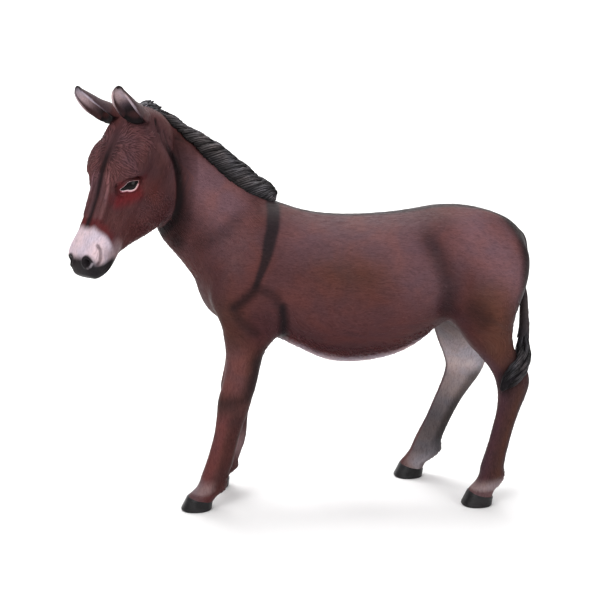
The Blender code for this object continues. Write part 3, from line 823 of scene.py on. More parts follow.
def laid(colour, *coats):
    """The colours with coats laid over them in turn, each a paint and how much it covers."""
    for paint, cover in coats:
        cover = np.clip(cover, 0, 1)[:, None]
        colour = colour * (1 - cover) + paint * cover
    return colour


def paint_body(points, normals):
    """The paint on trunk, neck and rump: patches of colour, the markings, painted highlights, and painted
    shade low down and in the folds.
    """
    x, y, z = points.T
    wide = np.abs(y)
    side_on = np.stack([x, np.zeros(len(x)), z], 1)

    def dab(strength, path, radius):
        return strength * nearness(side_on, [(a, 0, b) for a, b in path], radius)

    colour = laid(
        np.repeat(COAT[None], len(points), 0),
        # Darker maroon low on the body: maroon paint with painted shade.
        (MAROON, 0.75 * ramp(z, 0.76, 0.60) * ramp(z, 0.44, 0.56)),
        (UMBER, dab(0.55, [(0.12, 0.80), (0.20, 0.79)], 0.16)),
        # The lilac patches: drybrushed paint with painted highlight on back, rump, flank and neck.
        (LILAC, dab(0.75, [(0.33, 0.86), (0.37, 0.78)], 0.17)),
        (LILAC, dab(0.60, [(-0.02, 0.90), (0.20, 0.90)], 0.12)),
        (LILAC * 1.25, dab(0.85, [(0.55, 0.90), (0.62, 0.84), (0.66, 0.78)], 0.14)),
        (LILAC, dab(0.65, [(-0.32, 1.10), (-0.26, 1.02), (-0.22, 0.90)], 0.12)),
        (UMBER * 1.25, dab(0.66, [(0.60, 0.70), (0.63, 0.56)], 0.11)),
        (UMBER, dab(0.45, [(-0.25, 0.66), (-0.22, 0.52)], 0.10)),
        (LILAC * 1.25, dab(0.68, [(-0.34, 1.08), (-0.25, 1.01)], 0.11)),
        (COAT * 1.35, dab(0.60, [(-0.20, 0.86), (0.02, 0.70), (0.30, 0.66)], 0.15)))
    # The belly's pale edge and its inner thighs.
    low = np.interp(x, [-0.20, -0.06, 0.0, 0.04, 0.13, 0.21, 0.31, 0.41, 0.47],
                    [0.55, 0.586, 0.563, 0.544, 0.526, 0.529, 0.547, 0.588, 0.652])
    under = ramp(-normals[:, 2], 0.1, 0.4) * ramp(x, -0.11, -0.05) * ramp(-x, -0.44, -0.39)
    colour = laid(colour, (tint(112, 92, 97), 0.85 * under * ramp(low - z, -0.002, 0.016)),
                  (tint(172, 156, 162), 0.90 * under * ramp(low - z, 0.012, 0.042)))
    # Dark line down the back, and the stripe over the withers to the shoulders.
    line = np.interp(x, [-0.10, 0.10, 0.30, 0.50, 0.70], [0.012, 0.014, 0.018, 0.030, 0.026])
    above = ramp(z, 0.90, 0.94) * ramp(x, -0.16, -0.08)
    colour = laid(colour, (SHADOW, 0.85 * above * (1 - ramp(wide, line, line + 0.035))))
    path = np.array([(-0.091, 1.03), (-0.091, 0.99), (-0.098, 0.93), (-0.107, 0.90), (-0.121, 0.84),
                     (-0.143, 0.785), (-0.160, 0.745)])
    middle = np.interp(z, path[::-1, 1], path[::-1, 0])
    half = np.interp(z, [0.74, 0.78, 0.90, 1.02], [0.007, 0.012, 0.021, 0.022])
    band = (1 - ramp(np.abs(x - middle), half - 0.007, half + 0.007)) * ramp(z, 0.735, 0.765)
    colour = laid(colour, (tint(26, 20, 23), 0.90 * band * (x > -0.3) * (x < 0.05)))
    # Dark airbrushed paint with painted shade in the folds.
    shade = np.max([
        dab(0.80, [(-0.150, 0.752), (-0.185, 0.720), (-0.222, 0.690)], 0.030),
        dab(0.50, [(-0.222, 0.690), (-0.205, 0.651), (-0.158, 0.608)], 0.030),
        dab(0.55, [(-0.150, 0.750), (-0.094, 0.725), (-0.072, 0.680)], 0.030),
        dab(0.95, [(-0.071, 0.690), (-0.065, 0.640), (-0.063, 0.590)], 0.026),
        dab(0.55, [(0.395, 0.900), (0.420, 0.852), (0.447, 0.800), (0.462, 0.737), (0.464, 0.670)], 0.050),
        dab(0.60, [(0.545, 0.675), (0.575, 0.640)], 0.060),
        dab(0.34, [(-0.205, 0.965), (-0.242, 0.925), (-0.320, 0.885)], 0.040)], axis=0)
    # Dark edge of the buttocks and the tail.
    rear = np.interp(z, [0.50, 0.56, 0.65, 0.73, 0.82, 0.90, 0.95],
                     [0.70, 0.69, 0.700, 0.712, 0.714, 0.70, 0.67])
    return laid(colour, (SHADOW, shade * (z > 0.5) * (wide > 0.05)),
                (BLACK, 0.85 * ramp(x - rear, -0.030, 0.012) * ramp(z, 0.50, 0.66)),
                (tint(58, 53, 55), 0.95 * ramp(x, 0.722, 0.736) * (wide < 0.07)))


# Ahead of the first lie the head and throat, and behind the second every leg is a hind leg.
HEAD_PLANE = -0.33
HIND_PLANE = 0.2
# Where the black of the switch is sprayed over on to the left hind leg.
SOOT = [(0.715, -0.150, 0.500), (0.690, -0.180, 0.468), (0.664, -0.186, 0.440), (0.645, -0.180, 0.412)]


def paint_legs(colour, points, normals):
    """Knees, cannons, pasterns and the pale insides of the hind legs."""
    x, y, z = points.T
    inner = np.where(np.abs(y) > 0.03, -normals[:, 1] * np.sign(y), 0.5)
    hind = x > HIND_PLANE
    leg_part = (1 - ramp(z, 0.50, 0.60)) * (x > -0.6)
    leg_part = leg_part * np.maximum(1 - ramp(x, -0.08, -0.04), ramp(x, 0.43, 0.47))
    # How far forward each point is on its own leg: -1 at the back, 1 at the front.
    ahead = np.zeros(len(points))
    setback = np.interp(z, *np.array(FORELEG_SETBACK).T)
    for table, on, back_by in ((FORELEG, ~hind & (y < 0), 0), (FORELEG, ~hind & (y >= 0), setback),
                               (HINDLEG_LEFT, hind & (y < 0), 0), (HINDLEG_RIGHT, hind & (y >= 0), 0)):
        rows = np.array(table)[::-1]
        front, rear = (np.interp(z, rows[:, 0], rows[:, k]) + back_by for k in (1, 2))
        ahead = np.where(on, 1 - 2 * (x - front) / (rear - front), ahead)
    fore, back = leg_part * ~hind, leg_part * hind
    # The insides of the hind legs are pale, darker at the top and behind with painted shade.
    pale = hind * ramp(inner, 0.15, 0.60) * ramp(x, 0.36, 0.44) * (1 - ramp(z, 0.60, 0.70))
    light = np.interp(z, [0.06, 0.10, 0.17, 0.23, 0.28, 0.33, 0.38, 0.42, 0.46, 0.50, 0.55, 0.62],
                      [0.50, 0.22, 0.16, 0.16, 0.24, 0.42, 0.52, 0.82, 0.72, 0.52, 0.28, 0.17])
    # Painted shade on the back of the inner leg, most over the cannon.
    light *= 1 - 0.60 * ramp(-ahead, -0.10, 0.45) * ramp(z, 0.10, 0.16) * (1 - ramp(z, 0.37, 0.42))
    light *= 1 - 0.45 * ramp(-ahead, 0.20, 0.90)
    return laid(
        colour, (UMBER, 0.30 * leg_part),
        # Forelegs: a dark band round the knee, part paint and part painted shade, painted shade down the
        # back, a reddish cannon and a grey pastern.
        (tint(98, 60, 59), 0.75 * fore * ramp(z, 0.37, 0.43) * ramp(ahead, -0.45, 0.2)),
        (SHADOW, 0.80 * fore * ramp(-ahead, 0.15, 0.70) * ramp(z, 0.36, 0.42)),
        (tint(92, 50, 50), 0.75 * fore * (1 - ramp(z, 0.30, 0.36)) * ramp(ahead, -0.2, 0.5)),
        (tint(50, 24, 25), 0.65 * fore * (1 - ramp(z, 0.30, 0.36)) * ramp(-ahead, -0.30, 0.35)),
        (SHADOW, 0.46 * fore * np.exp(-((z - 0.374 + 0.010 * ahead) / 0.023) ** 2)),
        (tint(116, 99, 102), 0.92 * fore * (1 - ramp(z, 0.072, 0.118)) * ramp(ahead, -0.45, 0.35)),
        (tint(70, 44, 44), 0.60 * fore * (1 - ramp(z, 0.072, 0.105)) * ramp(-ahead, 0.2, 0.7)),
        (tint(150, 128, 132),
         0.45 * fore * (y > 0) * np.exp(-((z - 0.16) / 0.05) ** 2) * ramp(inner, 0.2, 0.9)),
        # Hind legs: dark plum in front, golden down the back of the cannon, painted shade along the back
        # edge, grey pasterns.
        (tint(52, 33, 35), 0.75 * back * (1 - ramp(z, 0.40, 0.50))),
        (tint(66, 42, 50), 0.65 * back * ramp(ahead, 0.25, 0.8)),
        (UMBER * 0.8, 0.60 * back * np.exp(-((ahead + 0.30) / 0.30) ** 2) * (1 - ramp(z, 0.36, 0.46))),
        (SHADOW, 0.45 * back * ramp(-ahead, 0.55, 0.95)),
        (tint(132, 118, 120), 0.92 * back * (1 - ramp(z + 0.010 * ahead, 0.066, 0.108))),
        (tint(194, 183, 186) * light[:, None], 0.94 * pale),
        # A reddish line above each hoof, and soot round the foot of the tail.
        (tint(72, 40, 42), 0.75 * leg_part * (1 - ramp(z, 0.0535, 0.0600))),
        (BLACK, 0.90 * nearness(points, SOOT, 0.055) * (y < 0)))


def paint_head(colour, points):
    """The face's browns and reds, its stripe, the white muzzle, the black nose and the lids, with painted
    highlights on the nose ridge and nostril rim and painted shade in the folds and along the jaw.
    """
    down, front, left = in_face(points)
    wide = np.abs(left)
    face_on = np.stack([down, front, wide], 1)
    on = (points[:, 0] < HEAD_PLANE) * ramp(front, -0.30, -0.24) * (down > -0.02)

    def dab(strength, path, radius):
        return strength * on * nearness(face_on, path, radius)

    # The stripe down the forehead, and the upper edge of the white muzzle.
    lean = np.interp(down, [0.08, 0.165, 0.26, 0.33], [0.004, -0.003, -0.008, -0.003])
    line = np.interp(down, [0.0, 0.10, 0.16, 0.25, 0.33], [0.001, 0.003, 0.006, 0.005, 0.003])
    stripe = (1 - ramp(np.abs(left - lean), line, line + 0.015)) * (front > -0.06)
    edge = 0.331 + 0.68 * np.maximum(0.012 - front, 0.0) ** 0.98
    uneven = edge + 0.004 * np.sin(70 * front + 4 * wide) + 0.003 * np.sin(160 * wide + 50 * front)
    # The black of the nose and lips, also round the nostrils.
    black_edge = np.interp(front, [-0.08, -0.054, -0.034, -0.020, 0.004], [0.402, 0.412, 0.434, 0.444, 0.436])
    ring = np.linalg.norm(face_on - np.array(NOSTRIL), axis=1)
    soot = np.maximum(ramp(down - black_edge, -0.020, 0.008), 1 - ramp(ring, 0.018, 0.026))
    tone = laid(
        colour, (tint(68, 41, 43), 0.6 * on),
        (LILAC, dab(0.35, [(0.05, 0.0, 0.05), (0.13, 0.0, 0.055)], 0.07)),
        (tint(68, 44, 45), dab(0.6, [(0.06, -0.11, 0.10), (0.13, -0.16, 0.09)], 0.09)),
        (tint(76, 45, 46), dab(0.80, [(0.23, -0.12, 0.07), (0.30, -0.10, 0.06)], 0.10)),
        (tint(82, 42, 40), dab(0.50, [(0.166, -0.080, 0.098), (0.171, -0.140, 0.092)], 0.055)),
        (RED, dab(0.85, [(0.240, -0.018, 0.066), (0.222, -0.040, 0.076), (0.200, -0.062, 0.090)], 0.038)),
        (RED, dab(0.35, [(0.175, -0.060, 0.104), (0.150, -0.055, 0.104)], 0.026)),
        (RED, dab(0.60, [(0.195, -0.010, 0.075), (0.205, -0.012, 0.072)], 0.022)),
        (RED * 0.85, 0.56 * on * np.exp(-((down - edge + 0.014) / 0.020) ** 2)),
        # Maroon paint with painted shade along the lower jaw.
        (MAROON, dab(0.60, [(0.20, -0.21, 0.06), (0.30, -0.14, 0.04)], 0.05)),
        (tint(26, 14, 17),
         0.94 * on * stripe * (0.35 + 0.65 * ramp(down, 0.06, 0.12)) * ramp(down, -0.01, 0.05)),
        (SHADOW, dab(0.45, [(0.075, 0.012, 0.030), (0.120, 0.014, 0.026)], 0.022)),
        # Painted shade in the groove beside the nose ridge.
        (tint(48, 24, 27), dab(0.55, [(0.215, -0.010, 0.056), (0.310, -0.006, 0.050)], 0.016)),
        # Painted highlight down the nose ridge and over the nasal bone.
        (LILAC * 1.7,
         dab(0.85, [(0.168, 0.009, 0.034), (0.200, 0.006, 0.037), (0.240, 0.003, 0.039)], 0.0085)),
        (LILAC * 1.1, dab(0.55, [(0.240, 0.003, 0.039), (0.300, 0.002, 0.038)], 0.012)),
        (LILAC, dab(0.45, [(0.17, 0.012, 0.018), (0.30, 0.004, 0.018)], 0.016)),
        (WHITE, 0.97 * on * ramp(down - uneven, -0.012, 0.016)),
        (tint(128, 108, 110), dab(0.90, [(0.372, -0.072, 0.064), (0.404, -0.052, 0.070)], 0.044)),
        (BLACK, 0.98 * on * soot),
        # Painted highlight on the rim of the near nostril.
        (tint(150, 142, 148), 0.80 * on * (left > 0) * nearness(
            face_on, [(0.457, -0.008, 0.038), (0.451, -0.010, 0.046), (0.440, -0.009, 0.051)], 0.0055)),
        # Painted shade in the fold behind each nostril and in the slit and wrinkle under the left ear.
        (tint(66, 50, 55), dab(0.92, NOSE_FOLD, 0.0085)),
        (BLACK, 0.9 * nearness(points, EAR_SLIT, 0.009)),
        (tint(84, 56, 58), 0.5 * nearness(points, EAR_WRINKLE, 0.005)))
    # The pale lids, with a dark red line of painted shade in the crease round each.
    for side in (1, -1):
        room, _, below, _ = eye_room(points, side)
        below = ramp(below, 0.000, 0.006)
        rim = -0.0004 + 0.0030 * below
        tone = laid(
            tone, (tint(60, 16, 18), 0.5 * (1 - ramp(np.abs(room - 0.0085), 0.001, 0.004))),
            (tint(160, 92, 104), 0.75 * (1 - ramp(room, rim + 0.0008, rim + 0.0016 + 0.0034 * below))),
            (tint(218, 186, 192), 0.95 * (1 - ramp(room, rim, rim + 0.0014))),
            (BLACK * 0.7, 1.0 - ramp(room, -0.0012, 0.0002)))
    return tone


# On the face: the mouth, the ridges down the nose and the fold behind each nostril. On the body: the
# slit and the wrinkle under the left ear.
MOUTH = [(0.470, -0.040, 0.0), (0.466, -0.048, 0.030), (0.452, -0.056, 0.056), (0.440, -0.064, 0.066),
         (0.425, -0.070, 0.070)]
NOSE_RIDGE = [(0.165, 0.010, 0.034), (0.200, 0.006, 0.038), (0.240, 0.002, 0.039), (0.290, 0.000, 0.040)]
NOSE_FOLD = [(0.387, -0.001, 0.060), (0.397, -0.009, 0.068), (0.414, -0.015, 0.072), (0.430, -0.018, 0.070),
             (0.441, -0.018, 0.064)]
EAR_SLIT = [(-0.458, -0.150, 1.274), (-0.451, -0.160, 1.257), (-0.446, -0.162, 1.240)]
EAR_WRINKLE = [(-0.502, -0.187, 1.253), (-0.488, -0.184, 1.2545), (-0.474, -0.180, 1.252)]
# Thin creases where the neck bends behind the cheek.
NECK_CREASES = [
    [(-0.446, -0.156, 1.248), (-0.437, -0.160, 1.214), (-0.425, -0.153, 1.178), (-0.413, -0.122, 1.133)],
    [(-0.430, -0.144, 1.238), (-0.419, -0.140, 1.195), (-0.407, -0.098, 1.156), (-0.400, -0.092, 1.118)],
    [(-0.416, -0.128, 1.219), (-0.405, -0.080, 1.179), (-0.398, -0.078, 1.142), (-0.389, -0.082, 1.105)],
    [(-0.400, -0.064, 1.191), (-0.391, -0.070, 1.154), (-0.383, -0.076, 1.117)],
]


def paint_neck_shade(colour, points):
    """Painted shade: the dark hollow behind the cheek and jaw, the far side of the neck and the creases where
    it bends.
    """
    dark = [(-0.400, -0.060, 1.20), (-0.388, -0.073, 1.13), (-0.382, -0.085, 1.05), (-0.384, -0.083, 0.975),
            (-0.405, -0.060, 0.89)]
    cheek = [(-0.44, -0.10, 1.20), (-0.42, -0.09, 1.10), (-0.43, -0.07, 1.0), (-0.46, -0.05, 0.93)]
    far = [(-0.50, 0.02, 1.17), (-0.50, 0.01, 1.08), (-0.46, 0.03, 0.97)]
    return laid(
        colour, (DEEP_SHADE, 0.80 * nearness(points, dark, 0.046) ** 0.7),
        (DEEP_SHADE, 0.92 * nearness(points, cheek, 0.060) * (in_face(points)[1] < -0.17)),
        (SHADOW, 0.80 * nearness(points, far, 0.050)),
        *[(DEEP_SHADE, 0.85 * nearness(points, crease, 0.0085)) for crease in NECK_CREASES])


# Points closer than this to an ear's middle line belong to the ear.
EAR_REACH = 0.085


def paint_ears(colour, points, normals):
    """Ears dark outside and at the tips, pale where they are cupped, and black in their depth, part paint and
    part painted shade.
    """
    for side in (1, -1):
        root, tip_way, open_way = (np.array(v) for v in ear_ways(side))
        along = (points - root) @ tip_way / EAR_LENGTH
        off = points - root - (points - root) @ tip_way[:, None] * tip_way
        close = np.linalg.norm(off, axis=1) < EAR_REACH
        near = close * ramp(along, 0.24, 0.36)
        cup = close * ramp(along, 0.08, 0.16) * ramp(normals @ open_way, 0.30, 0.62)
        colour = laid(
            colour, (tint(66, 50, 52), 0.95 * near), (tint(104, 88, 94), 0.9 * cup * ramp(along, 0.24, 0.42)),
            (tint(172, 157, 164), cup * ramp(along, 0.44, 0.76)),
            (BLACK, 0.97 * cup * (1 - ramp(along, 0.22, 0.56))),
            (BLACK, 0.80 * near * ramp(along, 0.86, 1.0)))
    return colour


# The rear edge of the left cheek: height, distance back.
CHEEK_EDGE = [(0.900, -0.480), (0.921, -0.462), (0.939, -0.438), (0.963, -0.417), (0.996, -0.405),
              (1.032, -0.399), (1.072, -0.398), (1.111, -0.401), (1.146, -0.409), (1.176, -0.421),
              (1.207, -0.434), (1.241, -0.445)]


def paint_cheek_edge_highlight_and_shade(colour, points):
    """Painted shadow where the cheek ends, crisp at its edge and fading back over the neck, with a painted
    highlight along the cheek's rim.
    """
    x, y, z = points.T
    behind = x - np.interp(z, *np.array(CHEEK_EDGE).T)
    reach = np.interp(z, [0.90, 1.00, 1.10, 1.16, 1.24], [0.064, 0.042, 0.032, 0.022, 0.015])
    near = (y < 0.0) * ramp(z, 0.86, 0.93) * (1 - ramp(z, 1.17, 1.23))
    return laid(
        colour,
        (LILAC * 0.9, 0.35 * near * ramp(behind, -0.030, -0.004) * (1 - ramp(behind, -0.004, 0.0))),
        (DEEP_SHADE, 0.92 * near * ramp(behind, -0.003, 0.003) * (1 - ramp(behind / reach, 0.35, 1.0))))


def painted(points, normals):
    """The paint on any point of the statue's flesh, with its painted highlights and painted shade, linear."""
    colour = paint_body(points, normals)
    colour = paint_legs(colour, points, normals)
    colour = paint_neck_shade(colour, points)
    colour = paint_head(colour, points)
    colour = paint_cheek_edge_highlight_and_shade(colour, points)
    tail = nearness(points, [row[:3] for row in TAIL[2:]], 0.040)
    colour = laid(colour, (tint(56, 51, 53), 0.95 * ramp(tail, 0.0, 0.30) * (points[:, 0] > 0.70)))
    return paint_ears(colour, points, normals)


def store_paint(obj, colour):
    layer = obj.data.color_attributes.new("paint", "FLOAT_COLOR", "POINT")
    rgba = np.concatenate([colour, np.ones((len(colour), 1))], 1)
    layer.data.foreach_set("color", rgba.astype(np.float32).ravel())


def finer_face(obj):
    """More points where the lids, nostrils and lips are carved."""
    points = points_of(obj)
    down, front, _ = in_face(points)
    wanted = np.minimum(eye_room(points, 1)[0], eye_room(points, -1)[0]) < 0.020
    wanted |= (down > 0.375) & (down < 0.50) & (front > -0.10) & (points[:, 0] < -0.4)
    for crease in NECK_CREASES:
        wanted |= nearness(points, crease, 0.018) > 0
    refine(obj, wanted)


finer_face(skin)
carve_face(skin)
skin_points, skin_normals = points_of(skin), points_of(skin, "normal")
store_paint(skin, painted(skin_points, skin_normals))


def hair_lie(points):
    """Coordinates that run along the carved hair first: back along the body, down the legs and face."""
    x, y, z = points.T
    down, front, left = in_face(points)
    hip = np.where(x > HIND_PLANE, 0.58, -0.16)
    legs = (1 - ramp(z, 0.50, 0.66))[:, None]
    head = ramp(front - 0.10 * ramp(-down, -0.08, 0.0), -0.262, -0.238)
    head = (head * (x < HEAD_PLANE) * (z > 0.8))[:, None]
    body = np.stack([x + 0.25 * np.abs(y), y, z - 0.58 + 0.12 * x], 1)
    out = body * (1 - legs) + np.stack([hip + 0.58 - z, y, x - hip], 1) * legs
    return out * (1 - head) + np.stack([down + 0.3 * front, front, left], 1) * head


def store_lie(obj, points):
    layer = obj.data.attributes.new("lie", "FLOAT_VECTOR", "POINT")
    layer.data.foreach_set("vector", hair_lie(points).astype(np.float32).ravel())


store_lie(skin, skin_points)


def feed(tree, node, inputs):
    """Joins each input of the node to a socket, or sets it to a number or colour."""
    for name, value in inputs.items():
        if isinstance(value, bpy.types.NodeSocket):
            tree.links.new(value, node.inputs[name])
        else:
            node.inputs[name].default_value = value


def add_node(tree, kind, inputs=None, **settings):
    node = tree.nodes.new(kind)
    for name, value in settings.items():
        setattr(node, name, value)
    feed(tree, node, inputs or {})
    return node


# The colour sockets of a mix, which share their names with its other kinds.
MIX_UNDER, MIX_OVER, MIX_RESULT = 6, 7, 2


def mixed(tree, how, cover, under, over):
    inputs = {"Factor": cover, MIX_UNDER: under, MIX_OVER: over}
    return add_node(tree, "ShaderNodeMix", inputs, data_type="RGBA", blend_type=how).outputs[MIX_RESULT]


def noise(tree, vector, scale, detail=3.0, distortion=0.0):
    inputs = {"Vector": vector, "Scale": scale, "Detail": detail, "Distortion": distortion}
    return add_node(tree, "ShaderNodeTexNoise", inputs).outputs["Fac"]


def spread(tree, value, low, high, out_low=0.0, out_high=1.0):
    inputs = {"Value": value, "From Min": low, "From Max": high, "To Min": out_low, "To Max": out_high}
    return add_node(tree, "ShaderNodeMapRange", inputs, clamp=True).outputs["Result"]


def calculated(tree, how, first, second):
    return add_node(tree, "ShaderNodeMath", {0: first, 1: second}, operation=how).outputs[0]


def bumped(tree, height, strength, distance):
    inputs = {"Distance": distance, "Strength": strength, "Height": height}
    return add_node(tree, "ShaderNodeBump", inputs).outputs["Normal"]


def socketed_group(name, inputs, outputs):
    """A node group with named sockets, what its inputs give and its output node."""
    tree = bpy.data.node_groups.new(name, "ShaderNodeTree")
    for label, kind, value in inputs:
        socket = tree.interface.new_socket(label, in_out="INPUT", socket_type=f"NodeSocket{kind}")
        if value is not None:
            socket.default_value = value
    for label, kind in outputs:
        tree.interface.new_socket(label, in_out="OUTPUT", socket_type=f"NodeSocket{kind}")
    return tree, add_node(tree, "NodeGroupInput").outputs, add_node(tree, "NodeGroupOutput")


def carved_hair_group():
    """Fine carved hair strokes, rubbed pale on their ridges and dark in their grooves."""
    tree, given, out = socketed_group(
        "CarvedHair",
        [("Paint", "Color", (0.5, 0.5, 0.5, 1)), ("Lie", "Vector", None), ("Rub", "Float", 0.3),
         ("Grooves", "Float", 0.4), ("Relief", "Float", 0.35), ("Sheen", "Float", 0.5)],
        [("Color", "Color"), ("Roughness", "Float"), ("Normal", "Vector")])
    paint, lie = given["Paint"], given["Lie"]
    stretched = add_node(tree, "ShaderNodeMapping", {"Scale": (0.26, 1.0, 1.0), "Vector": lie}).outputs[0]
    fine = noise(tree, stretched, 420.0, 2.0, 0.7)
    broad = noise(tree, stretched, 130.0, 2.0, 1.2)
    mottle = noise(tree, lie, 11.0, 4.0, 0.4)
    halves = [calculated(tree, "MULTIPLY", part, 0.5) for part in (fine, broad)]
    strokes = calculated(tree, "ADD", *halves)
    ridge = calculated(tree, "MULTIPLY", spread(tree, strokes, 0.50, 0.66), given["Rub"])
    groove = calculated(tree, "MULTIPLY", spread(tree, strokes, 0.49, 0.36), given["Grooves"])
    pale = mixed(tree, "MULTIPLY", 1.0, paint, (1.5, 1.5, 1.5, 1))
    pale = mixed(tree, "ADD", 1.0, pale, (0.007, 0.006, 0.007, 1))
    deep = mixed(tree, "MULTIPLY", 1.0, paint, (0.45, 0.40, 0.42, 1))
    colour = mixed(tree, "MIX", groove, mixed(tree, "MIX", ridge, paint, pale), deep)
    warm = mixed(tree, "MULTIPLY", 1.0, colour, (1.13, 1.01, 0.95, 1))
    cool = mixed(tree, "MULTIPLY", 1.0, colour, (0.91, 0.94, 1.00, 1))
    colour = mixed(tree, "MIX", spread(tree, mottle, 0.38, 0.64), cool, warm)
    rough = calculated(tree, "ADD", given["Sheen"], spread(tree, broad, 0.3, 0.7, 0.08, -0.07))
    feed(tree, out, {"Color": colour, "Roughness": rough,
                     "Normal": bumped(tree, strokes, given["Relief"], 0.0022)})
    return tree


CARVED_HAIR = carved_hair_group()


def painted_material(name, rub, grooves, relief, sheen, colour=None):
    """Satin paint over carved hair, in the piece's own colours or in one colour."""
    paint, tree, shader = new_finish(name)
    hair = add_node(tree, "ShaderNodeGroup", node_tree=CARVED_HAIR)
    if colour is None:
        tone = add_node(tree, "ShaderNodeAttribute", attribute_name="paint").outputs["Color"]
    else:
        tone = (*colour, 1)
    lie = add_node(tree, "ShaderNodeAttribute", attribute_name="lie").outputs["Vector"]
    feed(tree, hair, {"Paint": tone, "Lie": lie, "Rub": rub, "Grooves": grooves, "Relief": relief,
                      "Sheen": sheen})
    feed(tree, shader, {"Base Color": hair.outputs["Color"], "Roughness": hair.outputs["Roughness"],
                        "Normal": hair.outputs["Normal"], "Specular IOR Level": 0.09})
    return paint


dress(skin, painted_material("satin_coat_paint", 0.35, 0.45, 0.30, 0.50))
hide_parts("trunk", "head", "neck", "tail", "ear_left", "ear_right",
            *[f"forearm_fore_{h}" for h in ("left", "right")],
            *[f"gaskin_hind_{h}" for h in ("left", "right")],
            *[f"cannon_{c}_{h}" for c in ("fore", "hind") for h in ("left", "right")])
pieces = [skin]


# ---------------------------------------------------------------------------------------------
# The eyes: cast with the head as low domes between the lids, painted black and varnished. Each is
# a lens of its own set into its socket, inside a thin pale rim.

# Thickness of the rim, how far it is raised, its corners, and how many points lie on its round.
LID_RIM = 0.0013
RIM_RAISED = 0.0009
RIM_SIDES = 10
RIM_POINTS = 120


def eye_lens(name, side):
    """A low dome over the eye's outline, with a back that is set into the head."""
    middle, along, below, out = eye_frame(side)
    line = rounded(EYE_OUTLINE, EYE_POINTS) * 1.03
    rings = [[middle + along * u + below * v - out * 0.016 for u, v in line]]
    for r in (1.0, 0.94, 0.86, 0.76, 0.65, 0.54, 0.42, 0.30, 0.18, 0.07):
        lift = eye_dome(line[:, 0] * r, line[:, 1] * r) - 0.0008 * (r > 0.97)
        rings.append([middle + along * u * r + below * v * r + out * w for (u, v), w in zip(line, lift)])
    return loft(name, rings)


def lid_rim(name, side):
    """A thin rounded edge round the eye, thicker below."""
    middle, along, below, out = eye_frame(side)
    flat = rounded(EYE_OUTLINE, RIM_POINTS)
    lift = eye_dome(flat[:, 0], flat[:, 1])
    line = np.array([middle + along * u + below * v + out * w for (u, v), w in zip(flat, lift)])
    build = bmesh.new()
    rows = []
    for k, point in enumerate(line):
        ahead = line[(k + 1) % RIM_POINTS] - line[k - 1]
        ahead /= np.linalg.norm(ahead)
        away = np.cross(ahead, out)
        away /= np.linalg.norm(away)
        thick = LID_RIM * (0.34 + 0.66 * float(ramp(flat[k, 1], 0.001, 0.008)))
        section = [(thick * math.cos(a), thick * math.sin(a) + RIM_RAISED)
                   for a in np.linspace(0, 2 * math.pi, RIM_SIDES + 1)[:-1]]
        rows.append([build.verts.new(point + away * u + out * w) for u, w in section])
    bridge(build, rows + rows[:1], capped=False)
    bmesh.ops.recalc_face_normals(build, faces=build.faces)
    rim = new_piece(name, build)
    store_lie(rim, points_of(rim))
    return rim


varnish, tree, shader = new_finish("varnished_eye")
streaks = noise(tree, add_node(tree, "ShaderNodeTexCoord").outputs["Object"], 160.0, 3.0)
streaks = mixed(tree, "MIX", streaks, (0.002, 0.0016, 0.002, 1), (0.007, 0.005, 0.0045, 1))
feed(tree, shader, {"Base Color": streaks, "Roughness": 0.07, "Specular IOR Level": 0.12})
rim_paint = painted_material("pale_lid_paint", 0.1, 0.15, 0.05, 0.45, tint(206, 180, 184))
for side, hand in ((1, "left"), (-1, "right")):
    lens_piece = dress(eye_lens(f"eye_{hand}_lens", side), varnish)
    rim_piece = dress(lid_rim(f"eyelid_rim_{hand}", side), rim_paint)
    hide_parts(f"eye_{hand}")
    pieces += [lens_piece, rim_piece]


# ---------------------------------------------------------------------------------------------
# The carved coat: raised strands where the modeller cut the hair deeper, on forehead, cheeks, jaw,
# throat, chest, elbows, belly edge, thighs and heels. They are cast and painted with the skin.

surface = BVHTree.FromPolygons([Vector(p) for p in skin_points],
                               [tuple(polygon.vertices) for polygon in skin.data.polygons])


